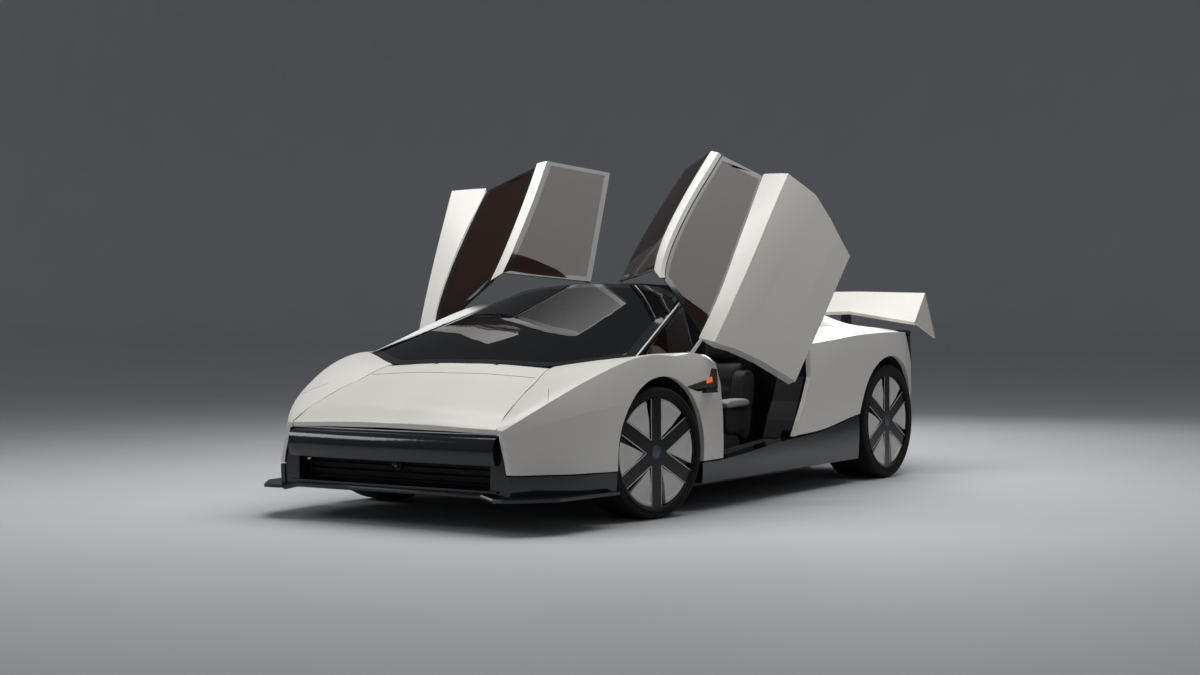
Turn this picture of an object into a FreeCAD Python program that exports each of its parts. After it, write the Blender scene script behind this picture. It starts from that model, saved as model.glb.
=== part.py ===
"""Low mid-engined two-seat sports car with dihedral doors, in millimetres.

+Z is up, the nose points to -Y and the car's left is +X. While the pieces are drawn, Y is counted
from the middle of the wheelbase. The doors are drawn closed and the front wheels straight, and both
are then turned to where the car is parked. Last, everything moves along Y, so that the origin lies on
the ground under the middle of the car's length.

Body surfaces are drawn from places given as shares of the car's half width, of its reach ahead of or
behind the middle, and of its roof height.
"""

import FreeCAD
import Part
import math
import os

Vector = FreeCAD.Vector
os.makedirs("parts", exist_ok=True)

# Overall sizes
half_width = 1000.0
nose_reach = 2360.0
tail_reach = 2190.0
roof_height = 1225.0

# Running gear
front_axle_share = 0.5585
rear_axle_share = 0.6164
front_axle_y = -front_axle_share * nose_reach
rear_axle_y = rear_axle_share * tail_reach
front_tyre_radius = 340.0
rear_tyre_radius = 360.0
front_tyre_width = 255.0
rear_tyre_width = 305.0
front_wheel_face = 985.0
rear_wheel_face = 996.0
front_rim_radius = 288.0
rear_rim_radius = 292.0
kingpin_inset = 50.0
parked_steer = -10.3

# Walls and clearances
panel_wall = 26.0
door_wall = 92.0
glass_wall = 7.0
tub_wall = 26.0
panel_gap = 7.0
fit_gap = 0.3
overrun = 60.0

# Door hinge: a point on its slanted axis, the axis, and how far the door is swung up when parked
hinge_shares = (0.900, -0.374, 0.665)
hinge_toe = -29.1
hinge_dip = -26.3
door_open = 63.9


def spot(x_share, y_share, z_share):
    """A place on the body from its shares."""
    reach = nose_reach if y_share < 0 else tail_reach
    return Vector(x_share * half_width, y_share * reach, z_share * roof_height)


def spots(shares):
    return [spot(*share) for share in shares]


def section_spots(y_share, pair_shares):
    """Points of one cross-section, from (x, z) shares."""
    return [spot(x_share, y_share, z_share) for x_share, z_share in pair_shares]


def curve(points):
    """One smooth edge through the points."""
    if len(points) == 2:
        return Part.makeLine(points[0], points[1])
    spline = Part.BSplineCurve()
    spline.interpolate(points)
    return spline.toShape()


def crowned_edge(start, end, crown_share, outward):
    """A straight edge, or an arc that rises from its chord by a share of its length."""
    chord = end - start
    if crown_share == 0:
        return Part.makeLine(start, end)
    rise = outward - chord * (outward.dot(chord) / chord.dot(chord))
    middle = (start + end) * 0.5 + rise * (crown_share * chord.Length / rise.Length)
    return Part.Arc(start, middle, end).toShape()


def panel_section(outer, inward, crown_shares):
    """Closed wire of a panel's cross-section: outer points, and the same moved inward."""
    inner = [point + move for point, move in zip(outer, inward)]
    edges = []
    for i, crown_share in enumerate(crown_shares):
        edges.append(crowned_edge(outer[i], outer[i + 1], crown_share, inward[i] * -1))
    edges.append(Part.makeLine(outer[-1], inner[-1]))
    for i in reversed(range(len(crown_shares))):
        edges.append(Part.makeLine(inner[i + 1], inner[i]))
    edges.append(Part.makeLine(inner[0], outer[0]))
    return Part.Wire(edges)


def panel(stations, inward, crown_shares):
    """Thick panel through cross-sections along the car."""
    wires = [panel_section(points, inward, crown_shares) for points in stations]
    return solid_of(Part.makeLoft(wires, True, False))


def solid_of(shape):
    """The shape with its solid turned right side out."""
    solid = shape.Solids[0].copy() if shape.Solids else Part.Solid(shape.Shells[0])
    if solid.Volume < 0:
        solid.reverse()
    return solid


def slab(outer_low, outer_high, inner_low, inner_high):
    """Thick sheet between two curves, each given by points."""
    edges = [curve(points) for points in (outer_low, outer_high, inner_high, inner_low)]
    faces = []
    for i, edge in enumerate(edges):
        faces.append(Part.makeRuledSurface(edge, edges[i - 1]))
    for end in (0, -1):
        corners = [outer_low[end], outer_high[end], inner_high[end], inner_low[end]]
        first = Part.makeLine(corners[0], corners[1])
        second = Part.makeLine(corners[3], corners[2])
        faces.append(Part.makeRuledSurface(first, second))
    shell = Part.Shell(faces)
    shell.sewShape()
    shell = Part.Shell(shell.Faces)
    solid = Part.Solid(shell)
    if solid.Volume < 0:
        solid.reverse()
    return solid


def moved(points, x=0.0, y=0.0, z=0.0):
    return [point + Vector(x, y, z) for point in points]


def block(x_low, x_high, y_low, y_high, z_low, z_high):
    size = (x_high - x_low, y_high - y_low, z_high - z_low)
    return Part.makeBox(*size, Vector(x_low, y_low, z_low))


def prism(points, direction):
    """Closed outline pushed along a direction."""
    return Part.Face(Part.makePolygon(points + points[:1])).extrude(direction)


def side_prism(yz_points, x_low, x_high):
    """Side-view outline from x_low to x_high."""
    points = [Vector(x_low, y, z) for y, z in yz_points]
    return prism(points, Vector(x_high - x_low, 0, 0))


def plan_prism(xy_points, z_low, z_high):
    """Plan-view outline from z_low to z_high."""
    points = [Vector(x, y, z_low) for x, y in xy_points]
    return prism(points, Vector(0, 0, z_high - z_low))


def front_prism(xz_points, y_low, y_high):
    """Front-view outline from y_low to y_high."""
    points = [Vector(x, y_low, z) for x, z in xz_points]
    return prism(points, Vector(0, y_high - y_low, 0))


def turned_profile(xr_points, y, z):
    """Ring or disc turned about an axle along X, from (x, radius) points."""
    points = [Vector(x, y, z + radius) for x, radius in xr_points]
    face = Part.Face(Part.makePolygon(points + points[:1]))
    return face.revolve(Vector(0, y, z), Vector(1, 0, 0), 360)


def axle_rod(radius, x_low, x_high, y, z):
    return Part.makeCylinder(radius, x_high - x_low, Vector(x_low, y, z), Vector(1, 0, 0))


def mirrored(shape):
    return shape.mirror(Vector(0, 0, 0), Vector(1, 0, 0))


def joined(shapes):
    """One solid from touching solids."""
    return shapes[0].multiFuse(shapes[1:]).removeSplitter()


def both_sides(shape):
    """A left piece with its right twin, as separate solids of one node."""
    return Part.makeCompound(shape.Solids + mirrored(shape).Solids)


# Shut lines, in side view, as (reach share, height share)
door_front_shares = ((-0.298, 0.100), (-0.300, 0.245), (-0.305, 0.408), (-0.317, 0.540),
                     (-0.327, 0.600), (-0.329, 0.640), (-0.328, 0.690), (-0.217, 0.925), (-0.217, 1.100))
door_rear_shares = ((0.030, 0.200), (0.042, 0.265), (0.065, 0.344), (0.095, 0.434),
                    (0.126, 0.550), (0.133, 0.686), (0.142, 0.766), (0.190, 0.960), (0.190, 1.100))


def shut_line(shares, gap):
    points = spots([(0.0, y_share, z_share) for y_share, z_share in shares])
    return [(point.y + gap, point.z) for point in points]


def ahead_of(shares, gap):
    """Space ahead of a shut line that is moved along the car by gap."""
    line = shut_line(shares, gap)
    front = -nose_reach - overrun
    return side_prism(line + [(front, line[-1][1]), (front, line[0][1])],
                      -half_width - overrun, half_width + overrun)


def behind(shares, gap):
    line = shut_line(shares, gap)
    rear = tail_reach + overrun
    return side_prism(line + [(rear, line[-1][1]), (rear, line[0][1])],
                      -half_width - overrun, half_width + overrun)


# Wheel arches: centre behind the axle, height and radius
arch_wall = 5.0
front_arch_y = front_axle_y + 10.0
front_arch_z = front_tyre_radius - 4.0
front_arch_radius = front_tyre_radius + 52.0
rear_arch_y = rear_axle_y + 10.0
rear_arch_z = rear_tyre_radius
rear_arch_radius = rear_tyre_radius + 50.0
arch_inner_x = 0.56 * half_width
liner_outer_x = 0.955 * half_width


def arch_space(y, z, radius):
    """What a wheel arch takes out of a side panel, open to the ground."""
    drum = axle_rod(radius, arch_inner_x, half_width + overrun, y, z)
    below = block(arch_inner_x, half_width + overrun, y - radius, y + radius, 0, z)
    return joined([drum, below])


# Front wings: hood edge, top fold, crest, side crease, low line and lower edge
fender_shares = (
    (-0.969, ((0.664, 0.406), (0.680, 0.405), (0.694, 0.402), (0.706, 0.369), (0.738, 0.273), (0.746, 0.233))),
    (-0.932, ((0.650, 0.454), (0.712, 0.456), (0.758, 0.451), (0.775, 0.406), (0.790, 0.278), (0.795, 0.230))),
    (-0.888, ((0.630, 0.497), (0.735, 0.502), (0.808, 0.499), (0.835, 0.430), (0.848, 0.282), (0.850, 0.228))),
    (-0.837, ((0.604, 0.540), (0.755, 0.549), (0.850, 0.546), (0.890, 0.453), (0.903, 0.286), (0.903, 0.225))),
    (-0.781, ((0.576, 0.580), (0.775, 0.594), (0.888, 0.592), (0.935, 0.472), (0.942, 0.287), (0.940, 0.224))),
    (-0.720, ((0.545, 0.625), (0.800, 0.636), (0.922, 0.634), (0.968, 0.484), (0.970, 0.290), (0.967, 0.221))),
    (-0.647, ((0.533, 0.648), (0.850, 0.667), (0.946, 0.670), (0.984, 0.492), (0.986, 0.290), (0.983, 0.220))),
    (-0.563, ((0.533, 0.658), (0.890, 0.684), (0.966, 0.683), (0.992, 0.498), (0.992, 0.290), (0.990, 0.219))),
    (-0.449, ((0.533, 0.665), (0.895, 0.686), (0.966, 0.682), (0.995, 0.500), (0.994, 0.290), (0.990, 0.218))),
    (-0.365, ((0.533, 0.670), (0.898, 0.684), (0.970, 0.666), (0.997, 0.500), (0.994, 0.290), (0.990, 0.219))),
    (-0.322, ((0.533, 0.670), (0.905, 0.682), (0.990, 0.629), (0.998, 0.500), (0.994, 0.290), (0.990, 0.220))),
    (-0.280, ((0.533, 0.670), (0.915, 0.684), (0.996, 0.629), (0.999, 0.500), (0.994, 0.290), (0.990, 0.220))),
)
fender_crowns = (0.01, 0.02, 0.03, 0.0, 0.0)
fender_inward_shares = ((0, -1), (0, -1), (-0.6, -1), (-1, 0), (-1, 0), (-1, 0))

# Cabin side below the windows: shoulder inner and outer lines, widest line, low line, lower edge
side_shares = (
    (-0.364, ((0.898, 0.676), (0.985, 0.622), (0.997, 0.500), (0.992, 0.327), (0.988, 0.214))),
    (-0.322, ((0.905, 0.682), (0.990, 0.629), (0.998, 0.500), (0.993, 0.327), (0.988, 0.219))),
    (-0.254, ((0.918, 0.692), (0.997, 0.639), (1.000, 0.506), (0.995, 0.335), (0.988, 0.229))),
    (-0.182, ((0.908, 0.704), (0.999, 0.651), (1.000, 0.513), (0.995, 0.341), (0.988, 0.238))),
    (-0.104, ((0.884, 0.722), (0.998, 0.664), (1.000, 0.519), (0.995, 0.348), (0.988, 0.250))),
    (0.012, ((0.835, 0.744), (0.992, 0.686), (1.000, 0.527), (0.994, 0.358), (0.986, 0.268))),
    (0.137, ((0.778, 0.764), (0.984, 0.705), (1.000, 0.535), (0.994, 0.367), (0.985, 0.282))),
    (0.192, ((0.780, 0.769), (0.986, 0.713), (1.000, 0.539), (0.994, 0.371), (0.985, 0.287))),
)

# Rear quarters: buttress inner and outer ridges, buttress foot, shoulder, widest, low and lower lines
quarter_shares = (
    (0.027, ((0.462, 0.984), (0.535, 0.964), (0.828, 0.746), (0.991, 0.688), (1.000, 0.527), (0.994, 0.358), (0.986, 0.270))),
    (0.137, ((0.448, 0.981), (0.510, 0.957), (0.778, 0.764), (0.984, 0.705), (1.000, 0.535), (0.994, 0.367), (0.985, 0.282))),
    (0.205, ((0.440, 0.975), (0.500, 0.950), (0.782, 0.769), (0.988, 0.713), (1.000, 0.539), (0.994, 0.371), (0.985, 0.290))),
    (0.320, ((0.520, 0.937), (0.572, 0.914), (0.800, 0.777), (1.000, 0.729), (1.003, 0.549), (0.996, 0.392), (0.986, 0.318))),
    (0.474, ((0.632, 0.865), (0.664, 0.854), (0.820, 0.785), (1.000, 0.745), (1.003, 0.563), (0.996, 0.424), (0.986, 0.351))),
    (0.644, ((0.670, 0.785), (0.700, 0.785), (0.832, 0.776), (1.000, 0.750), (1.003, 0.571), (0.996, 0.441), (0.986, 0.359))),
    (0.731, ((0.680, 0.774), (0.710, 0.774), (0.830, 0.767), (0.972, 0.748), (0.990, 0.571), (0.985, 0.445), (0.975, 0.359))),
    (0.811, ((0.690, 0.766), (0.718, 0.765), (0.800, 0.759), (0.912, 0.744), (0.950, 0.571), (0.948, 0.449), (0.938, 0.359))),
    (0.895, ((0.700, 0.756), (0.726, 0.755), (0.765, 0.751), (0.800, 0.741), (0.855, 0.571), (0.860, 0.457), (0.852, 0.359))),
)

# Glasshouse curves
rail_inner_shares = ((0.573, -0.194, 0.951), (0.545, -0.144, 0.973), (0.510, -0.059, 0.988),
                     (0.480, 0.027, 0.989), (0.455, 0.123, 0.984), (0.440, 0.184, 0.979))
rail_outer_shares = ((0.633, -0.212, 0.920), (0.605, -0.163, 0.945), (0.568, -0.074, 0.963),
                     (0.540, 0.009, 0.966), (0.515, 0.105, 0.960), (0.498, 0.180, 0.954))
roof_inner_shares = ((0.056, -0.182, 0.989), (0.054, -0.059, 0.999), (0.052, 0.059, 0.996), (0.050, 0.184, 0.984))
belt_shares = ((0.905, -0.316, 0.684), (0.918, -0.254, 0.692), (0.908, -0.182, 0.704),
               (0.884, -0.104, 0.722), (0.835, 0.012, 0.744), (0.778, 0.136, 0.764))
screen_base_shares = ((0.000, -0.699, 0.647), (0.300, -0.699, 0.644), (0.533, -0.695, 0.639),
                      (0.700, -0.655, 0.658), (0.888, -0.601, 0.679))
screen_top_shares = ((0.000, -0.203, 0.994), (0.230, -0.205, 0.989), (0.430, -0.210, 0.971),
                     (0.560, -0.216, 0.944), (0.620, -0.222, 0.926))
pillar_shares = ((0.900, -0.597, 0.680), (0.820, -0.462, 0.781), (0.729, -0.319, 0.881), (0.639, -0.2190, 0.923))
header_rear_shares = ((0.000, -0.1905, 0.997), (0.300, -0.1955, 0.986), (0.545, -0.2055, 0.955), (0.612, -0.2165, 0.930))


def full_span(shares):
    """Shares of a curve from the car's right edge through the middle to the left edge."""
    right = [(-x_share, y_share, z_share) for x_share, y_share, z_share in reversed(shares[1:])]
    return right + list(shares)


screen_steps = 25
glass_seat = 0.5
screen_seat = 2.0


def scaled_moves(move_shares, wall):
    return [Vector(x_share * wall, 0, z_share * wall) for x_share, z_share in move_shares]


def glasshouse_plan():
    """Everything inside the base of the windscreen and side glass, for cutting the front wings."""
    base = curve(spots(full_span(screen_base_shares)))
    points = [(point.x, point.y - screen_seat) for point in base.discretize(screen_steps)]
    tail = 0.25 * tail_reach
    side = spot(*belt_shares[0]).x + screen_seat
    points = [(-side, tail), (-side, points[0][1])] + points + [(side, points[-1][1]), (side, tail)]
    return plan_prism(points, 0.3 * roof_height, roof_height + overrun)


# Door hinge: bosses along its axis, the link back to the door's frame, and room beside it
door_pin_radius = 6.0
boss_radius = 10.0
boss_length = 16.0
boss_setback = 6.0
link_wall = 15.0
link_x = 0.880 * half_width
link_length = 178.0
hinge_room = 55.0
hinge_relief = 18.0


def along_hinge(start, end, radius):
    """Round bar on the left door's hinge axis, between two distances from the hinge point."""
    axis = door_axis()
    return Part.makeCylinder(radius, end - start, spot(*hinge_shares) + axis * start, axis)


def door_link():
    """What the left door turns on: a bored boss, and the link to the foot of the window post."""
    hinge = spot(*hinge_shares)
    boss = along_hinge(-boss_setback - boss_length, -boss_setback, boss_radius)
    top = spot(*belt_shares[0]).z - 0.6 * frame_bar - fit_gap
    line = [(hinge.y, hinge.z - boss_radius / 2), (hinge.y - boss_radius / 2, hinge.z + boss_radius / 2),
            (hinge.y + boss_radius, hinge.z + 2 * boss_radius), (hinge.y + 0.7 * link_length, top),
            (hinge.y + link_length, top), (hinge.y + link_length, top - 2 * boss_radius),
            (hinge.y + 2 * boss_radius, hinge.z)]
    link = side_prism(line, link_x, link_x + link_wall)
    return joined([boss, link]).cut(along_hinge(-overrun, overrun, door_pin_radius + running_gap))


def door_bracket():
    """What carries the left door: a boss with its pin, on a leg from the tub's front post."""
    far = -boss_setback - 2 * boss_length - 2 * panel_gap
    near = far + boss_length
    boss = along_hinge(far, near, boss_radius)
    pin = along_hinge(far, -boss_setback, door_pin_radius)
    middle = spot(*hinge_shares) + door_axis() * ((far + near) / 2)
    leg = block(middle.x - link_wall / 2, middle.x + link_wall / 3, middle.y - boss_radius, middle.y + boss_radius / 2,
                tub_post_top - overrun, middle.z)
    return [leg, boss, pin]


def make_fenders():
    stations = [section_spots(*row) for row in fender_shares]
    body = panel(stations, scaled_moves(fender_inward_shares, panel_wall), fender_crowns)
    body = body.common(ahead_of(door_front_shares, -panel_gap / 2))
    hinge = spot(*hinge_shares)
    side = spot(*belt_shares[0]).x + hinge_relief
    body = body.cut(block(0, side, hinge.y - 2 * boss_radius, 0, 0.6 * roof_height, roof_height))
    body = body.cut(arch_space(front_arch_y, front_arch_z, front_arch_radius))
    body = body.cut(glasshouse_plan())
    return both_sides(body)


def hood_edge(y_share):
    """Hood edge at a reach share, read off the front wing's table."""
    rows = [(row[0], row[1][0]) for row in fender_shares]
    for (y0, low), (y1, high) in zip(rows, rows[1:]):
        if y0 <= y_share <= y1:
            t = (y_share - y0) / (y1 - y0)
            return tuple(a + t * (b - a) for a, b in zip(low, high))
    return rows[0][1]


hood_wall = 22.0
hood_crown_shares = (0.010, 0.016)
hood_rear_share = -0.706
hinge_pin_radius = 4.0
running_gap = 0.05
ear_wall = 14.0
lid_hinge_x = 0.20 * half_width
nose_bow = 26.0
nose_x_share = 0.70
nose_y_share = 0.9665


def make_hood():
    """Hood between the front wings, with a low crown and a bowed front edge."""
    reaches = [row[0] for row in fender_shares if row[0] < hood_rear_share]
    stations = []
    for y_share in [reaches[0] - 0.02] + reaches + [hood_rear_share]:
        edge_x, edge_z = hood_edge(y_share)
        fold = (0.62 * edge_x, edge_z + hood_crown_shares[0])
        middle = (0.0, edge_z + hood_crown_shares[1])
        half = [(edge_x - panel_gap / half_width, edge_z), fold]
        pairs = [(-x, z) for x, z in half] + [middle] + half[::-1]
        stations.append(section_spots(y_share, pairs))
    moves = [Vector(0, 0, -hood_wall)] * len(stations[0])
    body = panel(stations, moves, (0, 0.01, 0.01, 0)).common(nose_limit(0))
    return with_lid_pins(body, *hood_hinge(), 1)


def hood_hinge():
    """Height and place along the car of the hood's hinge line."""
    edge_x, edge_z = hood_edge(hood_rear_share)
    pin = spot(0, hood_rear_share, edge_z + hood_crown_shares[0])
    return pin.y, pin.z


def with_lid_pins(lid, y, z, side):
    """Lid with a notch for each hinge ear on the body, and a pin across the notch."""
    reach = 6 * hinge_pin_radius
    width = ear_wall + 2 * panel_gap
    for x in (-lid_hinge_x, lid_hinge_x):
        notch = block(x - width / 2, x + width / 2, y - reach, y + reach, z - reach, z + reach)
        pin = axle_rod(hinge_pin_radius, x - width, x + width, *pin_place(y, z, side))
        lid = joined([lid.cut(notch), pin])
    return lid


def pin_place(y, z, side):
    """A lid's pin, from the lid's hinged edge: side is 1 when the lid lies ahead of that edge."""
    return y - side * 1.5 * hinge_pin_radius, z - hinge_pin_radius


def lid_ears(y, z, side, leg):
    """Ears on the body that hold a lid's hinge pins, each on a leg given in side view."""
    pin_y, pin_z = pin_place(y, z, side)
    reach = 2 * hinge_pin_radius
    tip = [(pin_y - side * reach, pin_z - reach), (pin_y - side * reach, pin_z + hinge_pin_radius),
           (pin_y, pin_z + 0.9 * reach)]
    ears = []
    for x in (-lid_hinge_x, lid_hinge_x):
        ear = side_prism(tip + leg, x - ear_wall / 2, x + ear_wall / 2)
        ears.append(ear.cut(axle_rod(hinge_pin_radius + running_gap, x - ear_wall, x + ear_wall, pin_y, pin_z)))
    return ears


def nose_limit(setback):
    """Space behind the bowed front edge of the hood."""
    front = nose_points(setback)
    side = half_width + overrun
    points = [(point.x, point.y) for point in front] + [(side, 0), (-side, 0)]
    return plan_prism(points, 0, roof_height)


def nose_points(setback, end_share=nose_x_share):
    """Points along the hood's bowed front edge, out to a share of the half width on each side."""
    end_y = nose_y_share * nose_reach
    count = 6
    points = []
    for i in range(count + 1):
        x_share = end_share * (2 * i / count - 1)
        bow = nose_bow * (1 - (x_share / nose_x_share) ** 2)
        points.append(Vector(x_share * half_width, -end_y - bow + setback, 0))
    return points


# Nose: profile of the rolled band under the light bar, as set back from the hood's edge and height
band_profile_shares = ((0.0051, 0.3902), (-0.0047, 0.3837), (-0.0118, 0.3633), (-0.0142, 0.3347), (-0.0123, 0.3020),
                       (-0.0068, 0.2780))
band_wall = 34.0
band_end_share = 0.664
light_bar_height = 14.0
intake_sill_share = 0.1673
post_width = 46.0


def band_bottom():
    return band_profile_shares[-1][1] * roof_height - light_bar_height


def make_front_bumper():
    """Rolled band over the intake, corner posts, intake sill and the valances back to the arches."""
    wires = []
    for point in nose_points(0, band_end_share):
        outer = [point + Vector(0, y * nose_reach, z * roof_height - light_bar_height)
                 for y, z in band_profile_shares]
        inner = moved(outer, y=band_wall)
        wires.append(Part.Wire([curve(outer), Part.makeLine(outer[-1], inner[-1]), curve(inner[::-1]),
                                Part.makeLine(inner[0], outer[0])]))
    band = solid_of(Part.makeLoft(wires, True, False))
    corner = spot(nose_x_share, -nose_y_share, 0)
    depth = band_wall + panel_wall
    low_x, low_z = fender_shares[0][1][-1]
    low = spot(low_x, 0, low_z) - Vector(0, 0, panel_gap)
    high = spot(fender_shares[0][1][3][0], 0, fender_shares[0][1][3][1])
    behind_fender = panel_wall + panel_gap
    post_x = corner.x - panel_wall - panel_gap
    raised = splitter_z + splitter_rise + fit_gap
    outline = [(post_x - post_width, raised), (lip_shares[-1][0] * half_width, valance_z), (low.x, valance_z),
               (low.x, low.z), (low.x - behind_fender, low.z), (high.x - behind_fender, high.z),
               (post_x - post_width, high.z)]
    post = front_prism(outline, corner.y, corner.y + depth)
    sill = block(-post_x, post_x, corner.y - nose_bow / 2, corner.y + depth, raised, intake_sill_share * roof_height)
    rows = [row for row in fender_shares if row[0] < valance_end_share] + [fender_row(valance_end_share)]
    stations = []
    for y_share, pairs in rows:
        low_x, low_z = pairs[-1]
        top = spot(low_x, y_share, low_z) - Vector(0, 0, panel_gap)
        foot = Vector(top.x - valance_lean, top.y, valance_z)
        stations.append([top, foot])
    valance = panel(stations, [Vector(-panel_wall, 0, 0)] * 2, (0.02,))
    valance = joined([valance, post])
    return joined([band, sill, valance, mirrored(valance)])


slat_count = 3
slat_height = 9.0
slat_depth = 34.0
slat_rake = 14.0
duct_wall = 10.0
core_wall = 40.0
duct_x = 0.600 * half_width


def make_intake_grille():
    """Slats across the intake, held by the duct's side walls, with the radiator core behind."""
    low = splitter_z + splitter_rise + fit_gap
    high = band_bottom() - fit_gap
    front = -nose_y_share * nose_reach + band_wall + panel_wall + fit_gap
    back = front_tub_nose_share * nose_reach - fit_gap
    core = block(-duct_x, duct_x, back - core_wall, back, low, high)
    wall = block(duct_x - duct_wall, duct_x, front, back, low, high)
    slats = []
    for i in range(1, slat_count + 1):
        z = low + i * (high - low) / (slat_count + 1)
        slat = block(-duct_x, duct_x, front, front + slat_depth, z - slat_height / 2, z + slat_height / 2)
        slat.rotate(Vector(0, front + slat_depth / 2, z), Vector(1, 0, 0), slat_rake)
        slats.append(slat)
    return joined([core, wall, mirrored(wall)] + slats)


def row_of(table, y_share):
    """A row of a body table at any reach share, between its two neighbours."""
    for (y0, low), (y1, high) in zip(table, table[1:]):
        if y0 <= y_share <= y1:
            t = (y_share - y0) / (y1 - y0)
            pairs = tuple((a[0] + t * (b[0] - a[0]), a[1] + t * (b[1] - a[1])) for a, b in zip(low, high))
            return (y_share, pairs)
    return table[-1]


def fender_row(y_share):
    return row_of(fender_shares, y_share)


valance_end_share = -0.722
valance_lean = 6.0

splitter_wall = 16.0
splitter_z = 160.0
splitter_rise = 34.0
lip_depth = 60.0
lip_height = 26.0
lip_profile_shares = ((0.50, 0.00), (0.13, 0.12), (0.00, 0.38), (0.07, 0.77), (0.33, 1.00), (1.00, 0.615))
lip_shares = ((0.30, -0.989), (0.60, -0.990), (0.68, -0.993))
splitter_shares = ((0.68, -0.993), (0.745, -1.000), (0.800, -0.998), (0.950, -0.919), (1.000, -0.7335), (0.720, -0.7335))
valance_z = splitter_z + splitter_wall + fit_gap
undertray_x = 0.52 * half_width
undertray_end = -0.388


def lip_section(x_share, y_share, top, height, back_y):
    """Cross-section of the front lip: a rounded edge that thins to the floor behind it."""
    front = spot(x_share, y_share, 0)
    edge = [Vector(front.x, front.y + y * lip_depth, top - z * height) for y, z in lip_profile_shares]
    points = [Vector(front.x, back_y, top)] + edge + [Vector(front.x, back_y, edge[-1].z)]
    return Part.makePolygon(points + points[:1])


def make_splitter():
    """Low blades at the corners, a raised rounded lip between them, and the front floor behind."""
    edge = [(point.x, point.y) for point in spots([(x, y, 0) for x, y in splitter_shares])]
    back_y = edge[-1][1]
    blade = plan_prism(edge + [(edge[0][0], back_y)], splitter_z, splitter_z + splitter_wall)
    raised = splitter_z + splitter_rise
    half = [(x, y, raised, lip_height) for x, y in lip_shares[:-1]]
    half.append((*lip_shares[-1], splitter_z + splitter_wall, splitter_wall / lip_profile_shares[-1][1]))
    rows = [(-x, y, top, height) for x, y, top, height in half[::-1]] + half
    lip = solid_of(Part.makeLoft([lip_section(*row, back_y) for row in rows], True, True))
    floor = block(-undertray_x, undertray_x, back_y - overrun, undertray_end * nose_reach, raised - splitter_wall, raised)
    return joined([lip, blade, mirrored(blade), floor])


light_bar_depth = 17.0


def make_light_bar():
    """Thin lamp under the hood's front edge."""
    wires = []
    top = band_profile_shares[0][1] * roof_height
    for point in nose_points(0, band_end_share):
        low, high = top - light_bar_height + fit_gap, top - 2 * fit_gap
        y = point.y + light_bar_depth / 2
        points = [Vector(point.x, y, low), Vector(point.x, y, high), Vector(point.x, y + light_bar_depth, high),
                  Vector(point.x, y + light_bar_depth, low)]
        wires.append(Part.makePolygon(points + points[:1]))
    return solid_of(Part.makeLoft(wires, True, False))


rail_wall = 24.0
frame_bar = 28.0
post_wall = 16.0
post_steps = 41
belt_seat = 6.0
shut_slant = 0.7
door_inward_shares = ((0, -0.40), (-0.95, -0.55), (-1, 0), (-1, 0), (-1, 0))


def make_door():
    """The left door, closed: shell, roof rail with its frame, and the two glasses."""
    stations = [section_spots(*row) for row in side_shares]
    shell = panel(stations, scaled_moves(door_inward_shares, door_wall), (0.01, 0.02, 0.0, 0.0))
    shell = shell.common(behind(door_front_shares, panel_gap / 2))
    shell = shell.common(ahead_of(door_rear_shares, -panel_gap / 2))
    inner, outer = spots(rail_inner_shares), spots(rail_outer_shares)
    drops = [Vector(0, shut_slant * rail_wall, -rail_wall)] + [Vector(0, 0, -rail_wall)] * (len(inner) - 1)
    wires = [panel_section([a, b], [drop] * 2, (0.02,)) for a, b, drop in zip(inner, outer, drops)]
    rail = solid_of(Part.makeLoft(wires, True, False))
    belt = spots(belt_shares)
    foot = moved(belt, x=-belt_seat, z=-0.6 * frame_bar)
    head = moved(outer, x=-glass_wall, z=-rail_wall - fit_gap)
    head[0] = curve(head).discretize(3 * post_steps // 2)[1]
    foot_line, head_line = curve(foot).discretize(post_steps), curve(head).discretize(post_steps)
    front_post = post_between(foot_line[1], head_line[1], 1)
    rear_post = post_between(foot_line[-2], head_line[-2], -1)
    belt_in = moved(foot, x=-glass_wall - post_wall, z=-fit_gap)
    belt_out = moved(foot, x=glass_wall, z=-fit_gap)
    belt_bar = slab(belt_out, belt_in, moved(belt_out, z=-frame_bar), moved(belt_in, z=-frame_bar)).cut(shell)
    belt_bar = max(belt_bar.Solids, key=lambda solid: solid.Volume)
    ceiling = spots(roof_inner_shares)
    down = glass_wall + fit_gap
    rear_ends = moved([inner[-1], ceiling[-1]], y=-glass_wall / 2)
    bars = [bar_between([inner[0], ceiling[0]], 1, down, shut_slant), bar_between(rear_ends, -1, down, 0)]
    spine_out = moved(ceiling, z=-down)
    spine_in = moved(spine_out, x=frame_bar, z=-glass_wall / 2)
    spine = slab(spine_out, spine_in, moved(spine_out, z=-frame_bar / 2), moved(spine_in, z=-frame_bar / 2))
    frame = joined([rail, front_post, rear_post, belt_bar, spine, door_link()] + bars)
    side_glass = slab(foot, head, moved(foot, x=-glass_wall), moved(head, x=-glass_wall))
    low = moved(inner, x=-fit_gap - glass_seat)
    roof_glass = slab(low, ceiling, moved(low, z=-glass_wall), moved(ceiling, z=-glass_wall))
    return {"door_shell": shell, "door_frame": frame, "door_glass": Part.makeCompound([side_glass, roof_glass])}


def post_between(foot, head, side):
    """Window post from the belt up into the roof rail, inboard of the side glass."""
    rise = head - foot
    head = head + rise * (1.8 * rail_wall / rise.z)
    low = moved([foot, head], x=-glass_wall - 3 * glass_seat)
    ahead = moved(low, y=side * frame_bar)
    return slab(low, ahead, moved(low, x=-post_wall), moved(ahead, x=-post_wall))


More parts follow.
